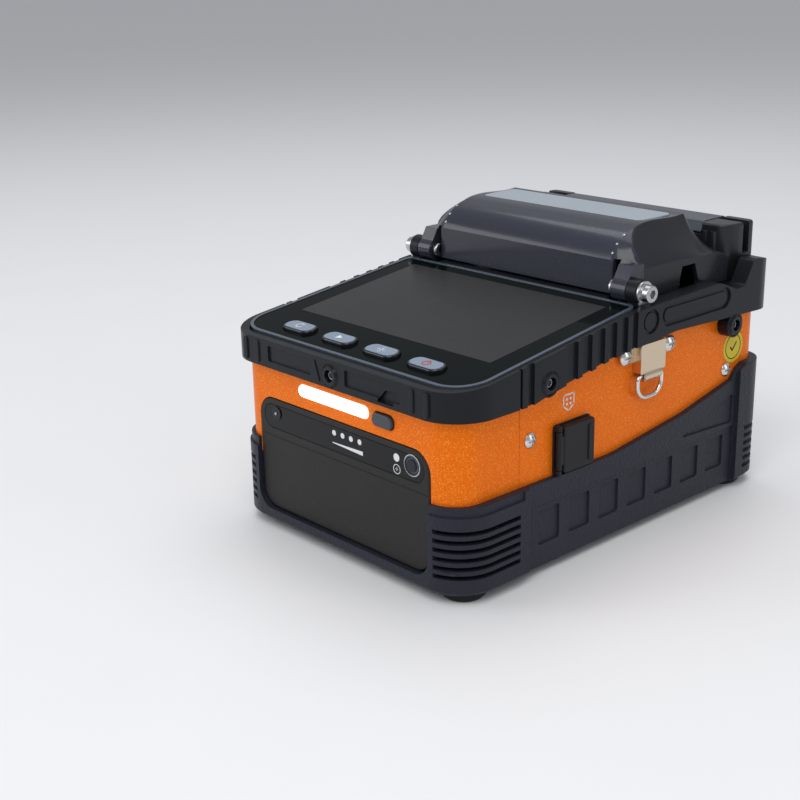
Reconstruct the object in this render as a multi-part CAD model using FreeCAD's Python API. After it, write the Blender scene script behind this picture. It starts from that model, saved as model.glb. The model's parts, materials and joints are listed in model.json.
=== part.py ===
import FreeCAD, Part
import math
import os

from FreeCAD import Vector

# Handheld fibre fusion splicer.
# Millimetres. +X is the right side seen from the front, +Y the rear, +Z up.
# The origin is the middle of the bottom of the feet.

# ---------------------------------------------------------------- overall
BUMPER_HALF = 72.0          # half width over the rubber top bumper
FRONT_Y = -102.0            # foremost face, the front of the top bumper
REAR_Y = 102.0              # rearmost face
PANEL_HALF = 66.5           # half width over the orange side panels
PANEL_FRONT = -98.0
PANEL_REAR = 98.0
PANEL_CORNER = 13.0
SHEET = 1.6                 # wall of the orange panels
PANEL_BOTTOM = 34.0
FRONT_SEAM = -63.0          # joint of front panel and side panels
REAR_SEAM = 84.0
SEAM_GAP = 0.2
FIT = 0.15                  # gap round a piece set into another

# ---------------------------------------------------------------- base
BASE_HALF = 71.0
BASE_FRONT = -100.5
BASE_REAR = 101.0
BASE_CORNER = 18.0
BASE_BOTTOM = 4.0
BASE_FLOOR = 6.6
BASE_TOP = 41.0
BASE_REAR_TOP = 60.0
MODULE_FRONT_Y = -61.0      # rear edge of the front corner modules
MODULE_REAR_Y = 79.0        # front edge of the rear corner modules
VENT_COUNT = 6
VENT_PITCH = 3.7
VENT_HEIGHT = 1.9
VENT_FIRST_Z = 11.2
POCKET_COUNT = 7
POCKET_PITCH = 18.7
POCKET_FIRST_Y = -53.2
POCKET_WIDTH = 12.4
POCKET_LOW = 13.4
POCKET_HIGH = 28.4
FOOT_RADIUS = 9.0
FOOT_X = 58.0
FOOT_Y = 85.5
TRIPOD_RADIUS = 3.175       # quarter-inch thread

# ---------------------------------------------------------------- screen slope
SLOPE = math.radians(7.313)
SLOPE_Y = -69.94            # front edge of the lit area, on the glass
SLOPE_Z = 91.5
LIT_WIDTH = 115.2
LIT_LENGTH = 69.1
TRIM_FRONT = -26.7          # front edge of the trim, along the slope
TRIM_REAR = 76.2
TRIM_HALF_FRONT = 69.8
TRIM_HALF_REAR = 68.0
TRIM_WIDTH = 1.5
TRIM_LEDGE = 5.8            # how far the ledge under the glass reaches in
GLASS = 2.2
KEY_LINE = -15.6            # keys' centre line, along the slope
KEY_PITCH = 25.9
KEY_LENGTH = 17.6
KEY_WIDTH = 8.6
KEY_HEIGHT = 1.5
KEY_TRAVEL = 1.2
KEY_CORNER = 4.0

# ---------------------------------------------------------------- battery
BATTERY_HALF = 53.0
BATTERY_LOW = 10.0
BATTERY_HIGH = 60.4
BATTERY_DEPTH = 76.0
CELL_RADIUS = 9.1
CELL_LENGTH = 65.0

# ---------------------------------------------------------------- deck and windshield
DECK_LOW = 93.0
DECK_TOP = 96.5
SILL_TOP = 101.6
HINGE_Y = 10.0
HINGE_Z = 106.0
SHIELD_TOP = 129.4
SHIELD_CREASE = 112.6
SHIELD_HALF = 62.0
SHIELD_TOP_HALF = 50.0
SHIELD_FRONT = 10.0
SHIELD_REAR = 77.0
SHIELD_FRONT_LOW = 102.6
SHIELD_REAR_LOW = 98.4
SHIELD_WALL = 2.2
EAR_IN = 54.2
EAR_OUT = 61.9
HINGE_PIN = 2.0
RUNNING = 0.05              # radial clearance of a pin in its moving piece

# ---------------------------------------------------------------- fibre line and heater
FIBRE_Y = 48.0
FIBRE_Z = 104.4
HEATER_FRONT = 79.2
HEATER_REAR = 100.2
HEATER_HALF = 60.0
HEATER_TOP = 122.0
TROUGH_Y = 93.0
TROUGH_WIDTH = 5.0

X_AXIS = Vector(1, 0, 0)
Y_AXIS = Vector(0, 1, 0)
Z_AXIS = Vector(0, 0, 1)

# ---------------------------------------------------------------- lamp, switch and port
LAMP_X0, LAMP_X1, LAMP_Z0, LAMP_Z1 = -25.4, 18.4, 65.8, 71.4
SWITCH_X0, SWITCH_X1, SWITCH_Z0, SWITCH_Z1 = 21.0, 33.4, 64.6, 71.0
PORT_Y0, PORT_Y1, PORT_Z0, PORT_Z1 = -43.6, -21.4, 40.6, 61.6
PORT_HINGE_X = 68.9
PORT_HINGE_Y = PORT_Y0 + 1.3

# ---------------------------------------------------------------- side fittings
LUG_Y = 14.0
LUG_X = PANEL_HALF
LUG_SCREW_Z = 80.6
SIDE_SCREWS = [(-57.0, 59.0), (73.0, 58.6)]
RING_BAR_Z = 70.8
RING_X = 69.3
RING_WIRE = 0.95
RING_HALF = 8.0
RING_DROP = 9.9
RING_BEND = 2.2
BRACKET_OUT = 67.4
POST_RADIUS = 4.7
POST_LENGTH = 4.6
POST_SEAT = 3.8             # depth of a post's seat below the bumper's face
POSTS = [
    (0.0, FRONT_Y + POST_SEAT, 81.0, -Y_AXIS),
    (0.0, REAR_Y - POST_SEAT, 90.8, Y_AXIS),
    (BUMPER_HALF - POST_SEAT, -51.5, 82.2, X_AXIS),
    (BUMPER_HALF - POST_SEAT, 70.6, 80.8, X_AXIS),
    (-BUMPER_HALF + POST_SEAT, -51.5, 82.2, -X_AXIS),
    (-BUMPER_HALF + POST_SEAT, 70.6, 80.8, -X_AXIS),
]
# Front and rear edge of each groove down the bumper's sides.
SIDE_GROOVES = [(-68.5, -67.2), (-64.2, -60.6), (-42.0, -35.4), (-32.6, -27.0),
                (-24.2, -19.2), (-16.4, -11.8), (-9.0, -4.8), (-2.2, 1.6)]

# ---------------------------------------------------------------- small moving pieces
RELEASE_X = 43.4
RELEASE_Z = 53.6
RELEASE_RADIUS = 3.4
GROOVE_COUNT = 3
PRESSER_X = 14.5
PRESSER_RADIUS = 2.0
PRESSER_TRAVEL = 1.5
HOLDER_IN = 26.0
HOLDER_OUT = 50.0
HOLDER_PIN_Y = 57.0
HOLDER_PIN_Z = 106.0
HEATER_PIN_Y = 98.0
HEATER_PIN_Z = 118.6
LID_HALF = 44.6


# ---------------------------------------------------------------- shape helpers
def box(x0, x1, y0, y1, z0, z1):
    return Part.makeBox(x1 - x0, y1 - y0, z1 - z0, Vector(x0, y0, z0))


def rod(radius, start, direction, length):
    return Part.makeCylinder(radius, length, Vector(*start), direction)


def tube(outer, inner, start, direction, length):
    return rod(outer, start, direction, length).cut(rod(inner, start, direction, length))


def rounded_face(points, radii):
    """Flat face through the points in turn, with an arc of the given radius at each corner."""
    count = len(points)
    if not isinstance(radii, (list, tuple)):
        radii = [radii] * count
    starts, middles, ends = [], [], []
    for i, corner in enumerate(points):
        before = (points[i - 1] - corner).normalize()
        after = (points[(i + 1) % count] - corner).normalize()
        half = before.getAngle(after) / 2
        reach = radii[i] / math.tan(half)
        starts.append(corner + before * reach)
        ends.append(corner + after * reach)
        inward = (before + after).normalize()
        middles.append(corner + inward * (radii[i] / math.sin(half) - radii[i]))
    edges = []
    for i in range(count):
        following = starts[(i + 1) % count]
        if radii[i] > 0:
            edges.append(Part.Arc(starts[i], middles[i], ends[i]).toShape())
        if (following - ends[i]).Length > 1e-6:
            edges.append(Part.LineSegment(ends[i], following).toShape())
    return Part.Face(Part.Wire(edges))


def plan_block(x_half, y0, y1, radii, z0, z1):
    """Block with a rounded plan, symmetric about X = 0.

    Corner radii run front left, front right, rear right, rear left.
    """
    plan = [(-x_half, y0), (x_half, y0), (x_half, y1), (-x_half, y1)]
    corners = [Vector(x, y, z0) for x, y in plan]
    return rounded_face(corners, radii).extrude(Vector(0, 0, z1 - z0))


def front_block(x0, x1, z0, z1, radius, y0, y1):
    """Block with a rounded outline seen from the front."""
    corners = [Vector(x0, y0, z0), Vector(x1, y0, z0), Vector(x1, y0, z1), Vector(x0, y0, z1)]
    return rounded_face(corners, radius).extrude(Vector(0, y1 - y0, 0))


def side_block(y0, y1, z0, z1, radius, x0, x1):
    """Block with a rounded outline seen from the side."""
    corners = [Vector(x0, y0, z0), Vector(x0, y1, z0), Vector(x0, y1, z1), Vector(x0, y0, z1)]
    return rounded_face(corners, radius).extrude(Vector(x1 - x0, 0, 0))


def side_profile(outline, x0, x1, radii=0):
    """Solid whose outline in Y and Z is given, running from x0 to x1."""
    corners = [Vector(x0, y, z) for y, z in outline]
    return rounded_face(corners, radii).extrude(Vector(x1 - x0, 0, 0))


def on_slope(x, along, above):
    """Point by its distance along and above the sloping screen."""
    y = SLOPE_Y + along * math.cos(SLOPE) - above * math.sin(SLOPE)
    z = SLOPE_Z + along * math.sin(SLOPE) + above * math.cos(SLOPE)
    return Vector(x, y, z)


SLOPE_NORMAL = Vector(0, -math.sin(SLOPE), math.cos(SLOPE))


def slope_block(outline, radii, low, high):
    """Solid standing square on the screen slope, from a height low to a height high."""
    corners = [on_slope(x, along, low) for x, along in outline]
    return rounded_face(corners, radii).extrude(SLOPE_NORMAL * (high - low))


def slope_box(x0, x1, s0, s1, radius, low, high):
    return slope_block([(x0, s0), (x1, s0), (x1, s1), (x0, s1)], radius, low, high)


def mirrored(shape):
    return shape.mirror(Vector(0, 0, 0), X_AXIS)


def both_sides(shape):
    return [shape, mirrored(shape)]


def fused(pieces):
    result = pieces[0]
    for piece in pieces[1:]:
        result = result.fuse(piece)
    return result.removeSplitter()


def save(name, shape):
    """Write one node, after checking that each of its solids is closed and valid."""
    solids = shape if isinstance(shape, list) else [shape]
    parts = []
    for solid in solids:
        parts.extend(solid.Solids)
    for part in parts:
        if not part.isValid() or part.Volume < 0.01:
            raise ValueError("bad solid in " + name)
    result = parts[0] if len(parts) == 1 else Part.makeCompound(parts)
    result.exportStep("parts/" + name + ".step")
    print(name, len(parts), "solids", round(sum(part.Volume for part in parts)), "mm3")


# ---------------------------------------------------------------- base
def base_bumper():
    corners = [BASE_CORNER, BASE_CORNER, 14.0, 14.0]
    body = plan_block(BASE_HALF, BASE_FRONT, BASE_REAR, corners, BASE_BOTTOM, BASE_REAR_TOP)
    bottom_edges = [edge for edge in body.Edges if edge.BoundBox.ZMax < BASE_BOTTOM + 0.01]
    body = body.makeChamfer(1.6, bottom_edges)
    skyline = [(-120, 0), (-120, BASE_TOP), (-8, BASE_TOP - 0.8), (40, 46.0), (76, 53.6),
               (79.5, BASE_REAR_TOP - 2),
               (84, BASE_REAR_TOP), (120, BASE_REAR_TOP), (120, 0)]
    body = body.common(side_profile(skyline, -80, 80, [0, 0, 60, 60, 2, 1.5, 3, 0, 0]))
    # The side walls stand back between the corner modules, more so under the ledge.
    body = body.cut(box(BASE_HALF - 1.9, 80, MODULE_FRONT_Y, MODULE_REAR_Y, 0, 80))
    body = body.cut(box(-80, -BASE_HALF + 1.9, MODULE_FRONT_Y, MODULE_REAR_Y, 0, 80))
    lower = box(BASE_HALF - 2.7, 80, MODULE_FRONT_Y + 1.2, MODULE_REAR_Y - 1.2, 0, 31.2)
    pockets = []
    for i in range(POCKET_COUNT):
        start = POCKET_FIRST_Y + i * POCKET_PITCH
        end = start + POCKET_WIDTH
        pockets.append(side_block(start, end, POCKET_LOW, POCKET_HIGH, 1.0, BASE_HALF - 3.6, 80))
    wedge = side_profile([(37, 35.4), (76.5, 33.2), (76.5, 47.0)], BASE_HALF - 2.7, 80, [0.6, 1.2, 1.2])
    for side in [lower, wedge] + pockets:
        for tool in both_sides(side):
            body = body.cut(tool)
    # A narrow step runs round the top of the front modules.
    step_outer = plan_block(BASE_HALF + 5, BASE_FRONT - 5, -64, 0, 37.0, 45.0)
    step_inner = plan_block(BASE_HALF - 0.9, BASE_FRONT + 0.9, 0, [17.1, 17.1, 0, 0], 36.0, 46.0)
    body = body.cut(step_outer.cut(step_inner))
    # Tub inside, wider above for the panels.
    body = body.cut(plan_block(64.6, -95.5, 96.0, 11.0, BASE_FLOOR, 80))
    body = body.cut(plan_block(PANEL_HALF + FIT, PANEL_FRONT - FIT, PANEL_REAR + FIT,
                               [PANEL_CORNER, PANEL_CORNER, 10.0, 10.0], PANEL_BOTTOM, 80))
    # Mouth of the battery bay.
    mouth = BATTERY_HALF + 0.6
    body = body.cut(front_block(-mouth, mouth, BATTERY_LOW - 0.5, 80, 8.0, -110, -90))
    return cut_vents(body).cut(rod(5.5, (0, 12, 0), Z_AXIS, 10))


def cut_vents(body):
    """Six slots through each corner module, following its round corner."""
    inside = plan_block(62.0, -92.0, 93.0, 9.0, 0, 80)
    for i in range(VENT_COUNT):
        low = VENT_FIRST_Z + i * VENT_PITCH
        ring = box(56.0, 80, -110, -66.5, low, low + VENT_HEIGHT)
        ring = ring.fuse(box(56.0, 80, 84.5, 110, low - 2.0, low - 2.0 + VENT_HEIGHT)).cut(inside)
        for tool in both_sides(ring):
            body = body.cut(tool)
    return body


def foot_pads():
    pads = []
    for x in (-FOOT_X, FOOT_X):
        for y in (-FOOT_Y, FOOT_Y):
            pad = rod(FOOT_RADIUS, (x, y, 0), Z_AXIS, BASE_BOTTOM)
            rim = [edge for edge in pad.Edges if edge.BoundBox.ZMax < 0.01]
            pads.append(pad.makeChamfer(1.0, rim))
    return pads


def tripod_insert():
    insert = rod(5.5, (0, 12, BASE_BOTTOM), Z_AXIS, 6.0).fuse(rod(7.5, (0, 12, BASE_FLOOR), Z_AXIS, 5.4))
    return insert.removeSplitter().cut(rod(TRIPOD_RADIUS, (0, 12, BASE_BOTTOM - 1), Z_AXIS, 7.0))


# ---------------------------------------------------------------- orange panels
def panel_ring(z0, z1):
    radii = [PANEL_CORNER, PANEL_CORNER, 10.0, 10.0]
    inner = [radius - SHEET for radius in radii]
    outside = plan_block(PANEL_HALF, PANEL_FRONT, PANEL_REAR, radii, z0, z1)
    return outside.cut(plan_block(PANEL_HALF - SHEET, PANEL_FRONT + SHEET, PANEL_REAR - SHEET, inner, z0, z1))


def front_panel():
    panel = panel_ring(PANEL_BOTTOM, 82.0).common(box(-80, 80, -120, FRONT_SEAM, 0, 120))
    mouth = BATTERY_HALF + 0.4
    panel = panel.cut(front_block(-mouth, mouth, 0, BATTERY_HIGH + 0.4, 9.4, -110, -90))
    panel = panel.cut(front_block(LAMP_X0, LAMP_X1, LAMP_Z0, LAMP_Z1, 2.7, -110, -90))
    return panel.cut(front_block(SWITCH_X0, SWITCH_X1, SWITCH_Z0, SWITCH_Z1, 2.8, -110, -90))


def side_panel():
    panel = panel_ring(PANEL_BOTTOM, DECK_LOW)
    reach = [(FRONT_SEAM + SEAM_GAP, 0), (REAR_SEAM - SEAM_GAP, 0), (REAR_SEAM - SEAM_GAP, DECK_LOW),
             (6, DECK_LOW),
             (FRONT_SEAM + SEAM_GAP, 84)]
    panel = panel.common(side_profile(reach, 0, 80))
    holes = SIDE_SCREWS + [(LUG_Y - 14.6, LUG_SCREW_Z), (LUG_Y + 14.6, LUG_SCREW_Z)]
    for y, z in holes:
        panel = panel.cut(rod(1.55, (60, y, z), X_AXIS, 10))
    return panel


def side_panel_right():
    opening = side_block(PORT_Y0 + 1.2, PORT_Y1 - 1.2, PORT_Z0 + 1.2, PORT_Z1 - 1.2, 1.0, 50, 80)
    return side_panel().cut(opening)


def rear_panel():
    panel = panel_ring(PANEL_BOTTOM, DECK_LOW).common(box(-80, 80, REAR_SEAM, 120, 0, 120))
    for i in range(9):
        x = -24.0 + 6.0 * i
        panel = panel.cut(front_block(x - 1.1, x + 1.1, 62.0, 78.0, 1.0, 90, 110))
    return panel


# ---------------------------------------------------------------- top bumper
def screen_height(y):
    return SLOPE_Z + (y - SLOPE_Y) * math.tan(SLOPE)


def trim_outline(inset):
    """Plan of the screen trim on the slope, drawn in from its outer edge."""
    front, rear = TRIM_FRONT + inset, TRIM_REAR - inset
    wide, narrow = TRIM_HALF_FRONT - inset, TRIM_HALF_REAR - inset
    return [(-wide, front), (wide, front), (narrow, rear), (-narrow, rear)]


def bumper_body():
    radii = [19.0, 19.0, 14.0, 14.0]
    body = plan_block(BUMPER_HALF, FRONT_Y, REAR_Y, radii, 70, 112)
    drop = 0.5
    top = [(-120, screen_height(-102) - drop + 0.4), (-98, screen_height(-98) - drop + 0.3),
           (3, screen_height(3) - drop), (8, 100.9), (58, 102.2), (70.5, 97.2), (76.5, 97.4),
           (83, 108.6), (92, 107.4), (103, 104.6), (120, 100.0)]
    bottom = [(120, 83.0), (62, 85.4), (28, 87.0), (-15, 83.5), (-55, 77.0), (-61, 75.6), (-120, 75.6)]
    radii = [0, 4, 3, 2, 12, 5, 3, 3, 4, 10, 0] + [0, 20, 20, 20, 5, 3, 0]
    body = body.common(side_profile(top + bottom, -80, 80, radii))
    return body


def top_bumper():
    body = bumper_body()
    for x, y, z, direction in POSTS:
        if abs(x) > 1:
            foot = (math.copysign(PANEL_HALF, x), y, z)
            tab = rod(POST_RADIUS + 0.9, foot, direction, BUMPER_HALF - PANEL_HALF)
            body = body.fuse(tab)
    # Grooves leave raised ribs along both sides.
    for rib_start, rib_end in SIDE_GROOVES:
        for tool in both_sides(box(BUMPER_HALF - 1.2, 80, rib_start, rib_end, 60, 120)):
            body = body.cut(tool)
    # Relief pads at the front and at the sides.
    body = body.cut(front_relief())
    body = body.cut(side_relief()).cut(mirrored(side_relief()))
    # Room for the screen trim, for the panels and for the deck.
    body = body.cut(slope_block(trim_outline(-FIT), [15.2, 15.2, 4.2, 4.2], -3.1, 30))
    body = body.cut(plan_block(PANEL_HALF + FIT, PANEL_FRONT - FIT, PANEL_REAR + FIT,
                               [PANEL_CORNER, PANEL_CORNER, 10.0, 10.0], 60, DECK_TOP + 0.1))
    body = body.cut(box(-64.2, 64.2, 2.0, 98.0, 90, 130))
    body = body.cut(box(-HEATER_HALF - 0.3, HEATER_HALF + 0.3, 79, HEATER_REAR + 0.2, DECK_TOP - 0.1, 130))
    body = body.cut(slope_box(-62.0, 62.0, -22.0, 90.0, 6.0, -20, 10))
    for tool in both_sides(box(61.5, BRACKET_OUT + 1.5, HINGE_Y - 6.4, HINGE_Y + 6.4, 90, 130)):
        body = body.cut(tool)
    for x, y, z, direction in POSTS:
        body = body.cut(rod(POST_RADIUS + 0.1, (x, y, z), direction, 8.0))
    return body


def front_relief():
    """Shallow pads cut in the front band on both sides of its middle post."""
    depth_y = FRONT_Y + 0.8
    left = rounded_face([Vector(-40.5, -110, 78.6), Vector(-12.5, -110, 78.6), Vector(-10.0, -110, 85.4),
                         Vector(-40.5, -110, 85.4)], 0.8).extrude(Vector(0, depth_y + 110, 0))
    right = rounded_face([Vector(9.0, -110, 78.6), Vector(41.0, -110, 78.6), Vector(43.0, -110, 85.4),
                          Vector(9.0, -110, 85.4)], 0.8).extrude(Vector(0, depth_y + 110, 0))
    hook = rounded_face([Vector(27.6, -110, 76.9), Vector(37.2, -110, 76.9), Vector(39.6, -110, 82.8),
                         Vector(32.0, -110, 82.0)], 0.5).extrude(Vector(0, depth_y + 111.2, 0))
    return left.fuse(right).fuse(hook)


def side_relief():
    """Round and oblong pads cut in the rear half of the side band."""
    depth_x = BUMPER_HALF - 0.9
    disc = rod(5.2, (depth_x, 10.4, 94.4), X_AXIS, 10)
    long_pad = side_block(17.5, 66.0, 90.2, 99.6, 4.6, depth_x, depth_x + 10)
    pip = side_block(19.5, 64.0, 92.0, 97.8, 2.8, depth_x - 1, depth_x + 0.5)
    return disc.cut(rod(3.9, (depth_x - 1, 10.4, 94.4), X_AXIS, 1.5)).fuse(long_pad.cut(pip))


def bumper_posts():
    posts = []
    for x, y, z, direction in POSTS:
        post = rod(POST_RADIUS, (x, y, z), direction, POST_LENGTH)
        rim = [edge for edge in post.Edges if len(edge.Vertexes) == 1]
        far = max(rim, key=lambda edge: (edge.CenterOfMass - Vector(x, y, z)).dot(direction))
        post = post.makeChamfer(0.9, [far])
        start = Vector(x, y, z) + direction * (POST_LENGTH - 2.6)
        posts.append(post.cut(rod(POST_RADIUS * 0.55, (start.x, start.y, start.z), direction, 5.0)))
    return posts


# ---------------------------------------------------------------- screen and keys
def screen_trim():
    ring = slope_block(trim_outline(0), [15.0, 15.0, 4.0, 4.0], -3.0, 0.35)
    ring = ring.cut(slope_block(trim_outline(TRIM_WIDTH), [13.5, 13.5, 2.5, 2.5], -GLASS - 0.1, 5))
    return ring.cut(slope_block(trim_outline(TRIM_LEDGE), [9.2, 9.2, 1.0, 1.0], -5, 5))


def key_centres():
    return [KEY_PITCH * (i - 1.5) for i in range(4)]


def key_pill(x, grow, low, high):
    half, reach = KEY_LENGTH / 2 + grow, KEY_WIDTH / 2 + grow
    return slope_box(x - half, x + half, KEY_LINE - reach, KEY_LINE + reach, KEY_CORNER + grow, low, high)


def screen_glass():
    gap = 0.1
    glass = slope_block(trim_outline(TRIM_WIDTH + gap), [13.4, 13.4, 2.4, 2.4], -GLASS, 0)
    for x in key_centres():
        glass = glass.cut(key_pill(x, 0.35, -5, 5))
    return glass


def lcd_module():
    half = LIT_WIDTH / 2 + 3.0
    return slope_box(-half, half, -3.0, LIT_LENGTH + 1.0, 0.5, -7.6, -GLASS - 0.1)


def key_cap(x):
    cap = key_pill(x, 0, -3.4, KEY_HEIGHT)
    top = max(cap.Faces, key=lambda face: face.CenterOfMass.dot(SLOPE_NORMAL))
    cap = cap.makeFillet(0.7, top.Edges)
    return cap.fuse(key_pill(x, 0.9, -4.4, -3.2)).removeSplitter()


def key_board():
    return slope_box(-52, 52, -22.5, -6.0, 1.0, -7.6, -6.0)


# ---------------------------------------------------------------- lamp, switch, port


def lamp_lens():
    lens = front_block(LAMP_X0 + FIT, LAMP_X1 - FIT, LAMP_Z0 + FIT, LAMP_Z1 - FIT,
                       2.5, PANEL_FRONT - 0.8, -95.5)
    face = min(lens.Faces, key=lambda item: item.CenterOfMass.y)
    lens = lens.makeFillet(0.6, face.Edges)
    flange = front_block(LAMP_X0 - 1, LAMP_X1 + 1, LAMP_Z0 - 1, LAMP_Z1 + 1, 3.5, -96.3, -94.6)
    return lens.fuse(flange).removeSplitter()


def lamp_board():
    board = box(LAMP_X0, LAMP_X1, -93.6, -92.2, LAMP_Z0 - 0.5, LAMP_Z1 + 0.5)
    for i in range(6):
        x = LAMP_X0 + 4.5 + 7.0 * i
        board = board.fuse(box(x - 1.6, x + 1.6, -94.4, -93.6, 67.0, 70.2))
    return board


def light_switch():
    centre_x = (SWITCH_X0 + SWITCH_X1) / 2
    cap = front_block(SWITCH_X0 + 0.4, SWITCH_X1 - 0.4, SWITCH_Z0 + 0.4, SWITCH_Z1 - 0.4,
                      2.4, PANEL_FRONT - 1.5, -95.0)
    face = min(cap.Faces, key=lambda item: item.CenterOfMass.y)
    cap = cap.makeFillet(0.7, face.Edges)
    return cap.fuse(rod(1.5, (centre_x, -95.1, 67.8), Y_AXIS, 3.0)).removeSplitter()


def switch_housing():
    centre_x = (SWITCH_X0 + SWITCH_X1) / 2
    housing = box(SWITCH_X0, SWITCH_X1, -93.6, -86.0, SWITCH_Z0, SWITCH_Z1)
    return housing.cut(rod(1.6, (centre_x, -94, 67.8), Y_AXIS, 4.5))


def port_bezel():
    bezel = side_block(PORT_Y0, PORT_Y1, PORT_Z0, PORT_Z1, 1.6, PANEL_HALF, PANEL_HALF + 0.8)
    sleeve = side_block(PORT_Y0 + 1.3, PORT_Y1 - 1.3, PORT_Z0 + 1.3, PORT_Z1 - 1.3,
                        0.9, 63.5, PANEL_HALF + 0.4)
    opening = side_block(PORT_Y0 + 3, PORT_Y1 - 3, PORT_Z0 + 3, PORT_Z1 - 3, 0.8, 60, 80)
    bezel = bezel.fuse(sleeve).cut(opening).removeSplitter()
    for z in (PORT_Z0 + 0.2, PORT_Z1 - 2.2):
        lug = rod(1.2, (PORT_HINGE_X, PORT_HINGE_Y, z), Z_AXIS, 2.0)
        web = box(PANEL_HALF + 0.3, PORT_HINGE_X, PORT_HINGE_Y - 1.1, PORT_HINGE_Y + 1.1, z, z + 2)
        bezel = bezel.fuse(lug).fuse(web)
    pin = rod(0.6, (PORT_HINGE_X, PORT_HINGE_Y, PORT_Z0 + 1.0), Z_AXIS, PORT_Z1 - PORT_Z0 - 2.0)
    return bezel.fuse(pin).removeSplitter()


def port_cover():
    low, high = PORT_Z0 + 2.5, PORT_Z1 - 2.5
    flap = side_block(PORT_HINGE_Y + 1.9, PORT_Y1 - 0.4, PORT_Z0 + 0.5, PORT_Z1 - 0.5,
                      1.6, PANEL_HALF + 0.95, 70.2)
    face = max(flap.Faces, key=lambda item: item.CenterOfMass.x)
    flap = flap.makeFillet(0.6, face.Edges)
    barrel = rod(1.3, (PORT_HINGE_X, PORT_HINGE_Y, low), Z_AXIS, high - low)
    strap = box(PORT_HINGE_X - 0.6, PORT_HINGE_X + 1.0, PORT_HINGE_Y, PORT_HINGE_Y + 3, low + 2, high - 2)
    flap = flap.fuse(barrel).fuse(strap)
    flap = flap.cut(rod(0.6 + RUNNING, (PORT_HINGE_X, PORT_HINGE_Y, PORT_Z0), Z_AXIS, PORT_Z1 - PORT_Z0))
    tongue = box(69.9, 70.7, PORT_Y1 - 4.4, PORT_Y1 - 3.0, PORT_Z0 + 3, PORT_Z1 - 3)
    return flap.fuse(tongue).removeSplitter()


def port_connectors():
    board = box(57.0, 58.4, -42, -23, 42, 60)
    jack = box(58.4, 64.4, -40, -33.0, 44, 55).cut(rod(2.9, (59.4, -36.5, 49.5), X_AXIS, 10))
    jack = jack.fuse(rod(1.0, (59.0, -36.5, 49.5), X_AXIS, 4.5))
    shell = side_block(-31.5, -28.2, 45, 54.2, 1.5, 58.4, 64.4)
    shell = shell.cut(side_block(-31.2, -28.5, 45.3, 53.9, 1.2, 59.4, 70))
    tongue = box(59.0, 63.0, -30.2, -29.5, 46.3, 52.9)
    return board.fuse(jack).fuse(shell).fuse(tongue).removeSplitter()


# ---------------------------------------------------------------- straps, screws


def strap_lug():
    """Pressed steel lug: two screwed wings and a raised channel whose foot wraps the ring's bar."""
    wing_y = 17.6
    wings = side_block(LUG_Y - wing_y, LUG_Y + wing_y, 77.2, 83.8, 3.2, LUG_X, LUG_X + 1.2)
    channel = side_block(LUG_Y - 8.2, LUG_Y + 8.2, 72.2, 84.9, 0.8, LUG_X, LUG_X + 4.6)
    channel = channel.cut(box(LUG_X - 1, LUG_X + 3.4, LUG_Y - 7.0, LUG_Y + 7.0, 70, 90))
    wrap = tube(2.5, RING_WIRE + 0.35, (RING_X, LUG_Y - 5.4, RING_BAR_Z), Y_AXIS, 10.8)
    wrap = wrap.cut(box(LUG_X - 3, RING_X, LUG_Y - 8, LUG_Y + 8, RING_BAR_Z + 0.4, RING_BAR_Z + 4))
    outer = box(LUG_X + 3.4, LUG_X + 4.6, LUG_Y - 5.4, LUG_Y + 5.4, RING_BAR_Z + 1.6, 80)
    lug = fused([wings, channel, outer, wrap])
    for y in (LUG_Y - 14.6, LUG_Y + 14.6):
        lug = lug.cut(rod(1.6, (LUG_X - 1, y, LUG_SCREW_Z), X_AXIS, 4))
    return lug


def strap_ring():
    """D ring: a straight bar in the lug, and a bow that hangs below it."""
    left, right = LUG_Y - RING_HALF, LUG_Y + RING_HALF
    low = RING_BAR_Z - RING_DROP
    corners = [Vector(RING_X, left, RING_BAR_Z), Vector(RING_X, right, RING_BAR_Z),
               Vector(RING_X, right, low), Vector(RING_X, left, low)]
    path = rounded_face(corners, [RING_BEND, RING_BEND, 6.0, 6.0]).OuterWire
    start = Vector(RING_X, left, RING_BAR_Z - RING_BEND)
    section = Part.Wire([Part.Circle(start, Z_AXIS, RING_WIRE).toShape()])
    return path.makePipeShell([section], True, True)


def pan_screw(x, y, z, radius):
    """Pan-head screw driven into a right side panel, with a cross recess."""
    head = Part.makeSphere(radius * 1.35, Vector(x - radius * 0.75, y, z))
    head = head.common(rod(radius, (x, y, z), X_AXIS, radius))
    reach = radius * 0.62
    slot = radius * 0.14
    cross = box(x + radius * 0.2, x + 5, y - reach, y + reach, z - slot, z + slot)
    cross = cross.fuse(box(x + radius * 0.2, x + 5, y - slot, y + slot, z - reach, z + reach))
    shaft = rod(1.5, (x - 3.0, y, z), X_AXIS, 3.01)
    return head.cut(cross).fuse(shaft).removeSplitter()


def panel_screws():
    """Pan-head screws of the strap lugs and of the side panels."""
    screws = [pan_screw(LUG_X + 1.2, y, LUG_SCREW_Z, 3.6) for y in (LUG_Y - 14.6, LUG_Y + 14.6)]
    screws += [pan_screw(PANEL_HALF, y, z, 3.2) for y, z in SIDE_SCREWS]
    return screws + [mirrored(screw) for screw in screws]


# ---------------------------------------------------------------- inside the housing
def main_board():
    board = box(-56, 56, -84, -14, 70, 71.6)
    chips = [(-30, -60, 16, 3), (10, -50, 14, 3), (34, -66, 10, 4), (-8, -30, 12, 3), (-42, -34, 9, 5)]
    for x, y, size, height in chips:
        board = board.fuse(box(x, x + size, y, y + size, 71.6, 71.6 + height))
    return board


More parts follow.
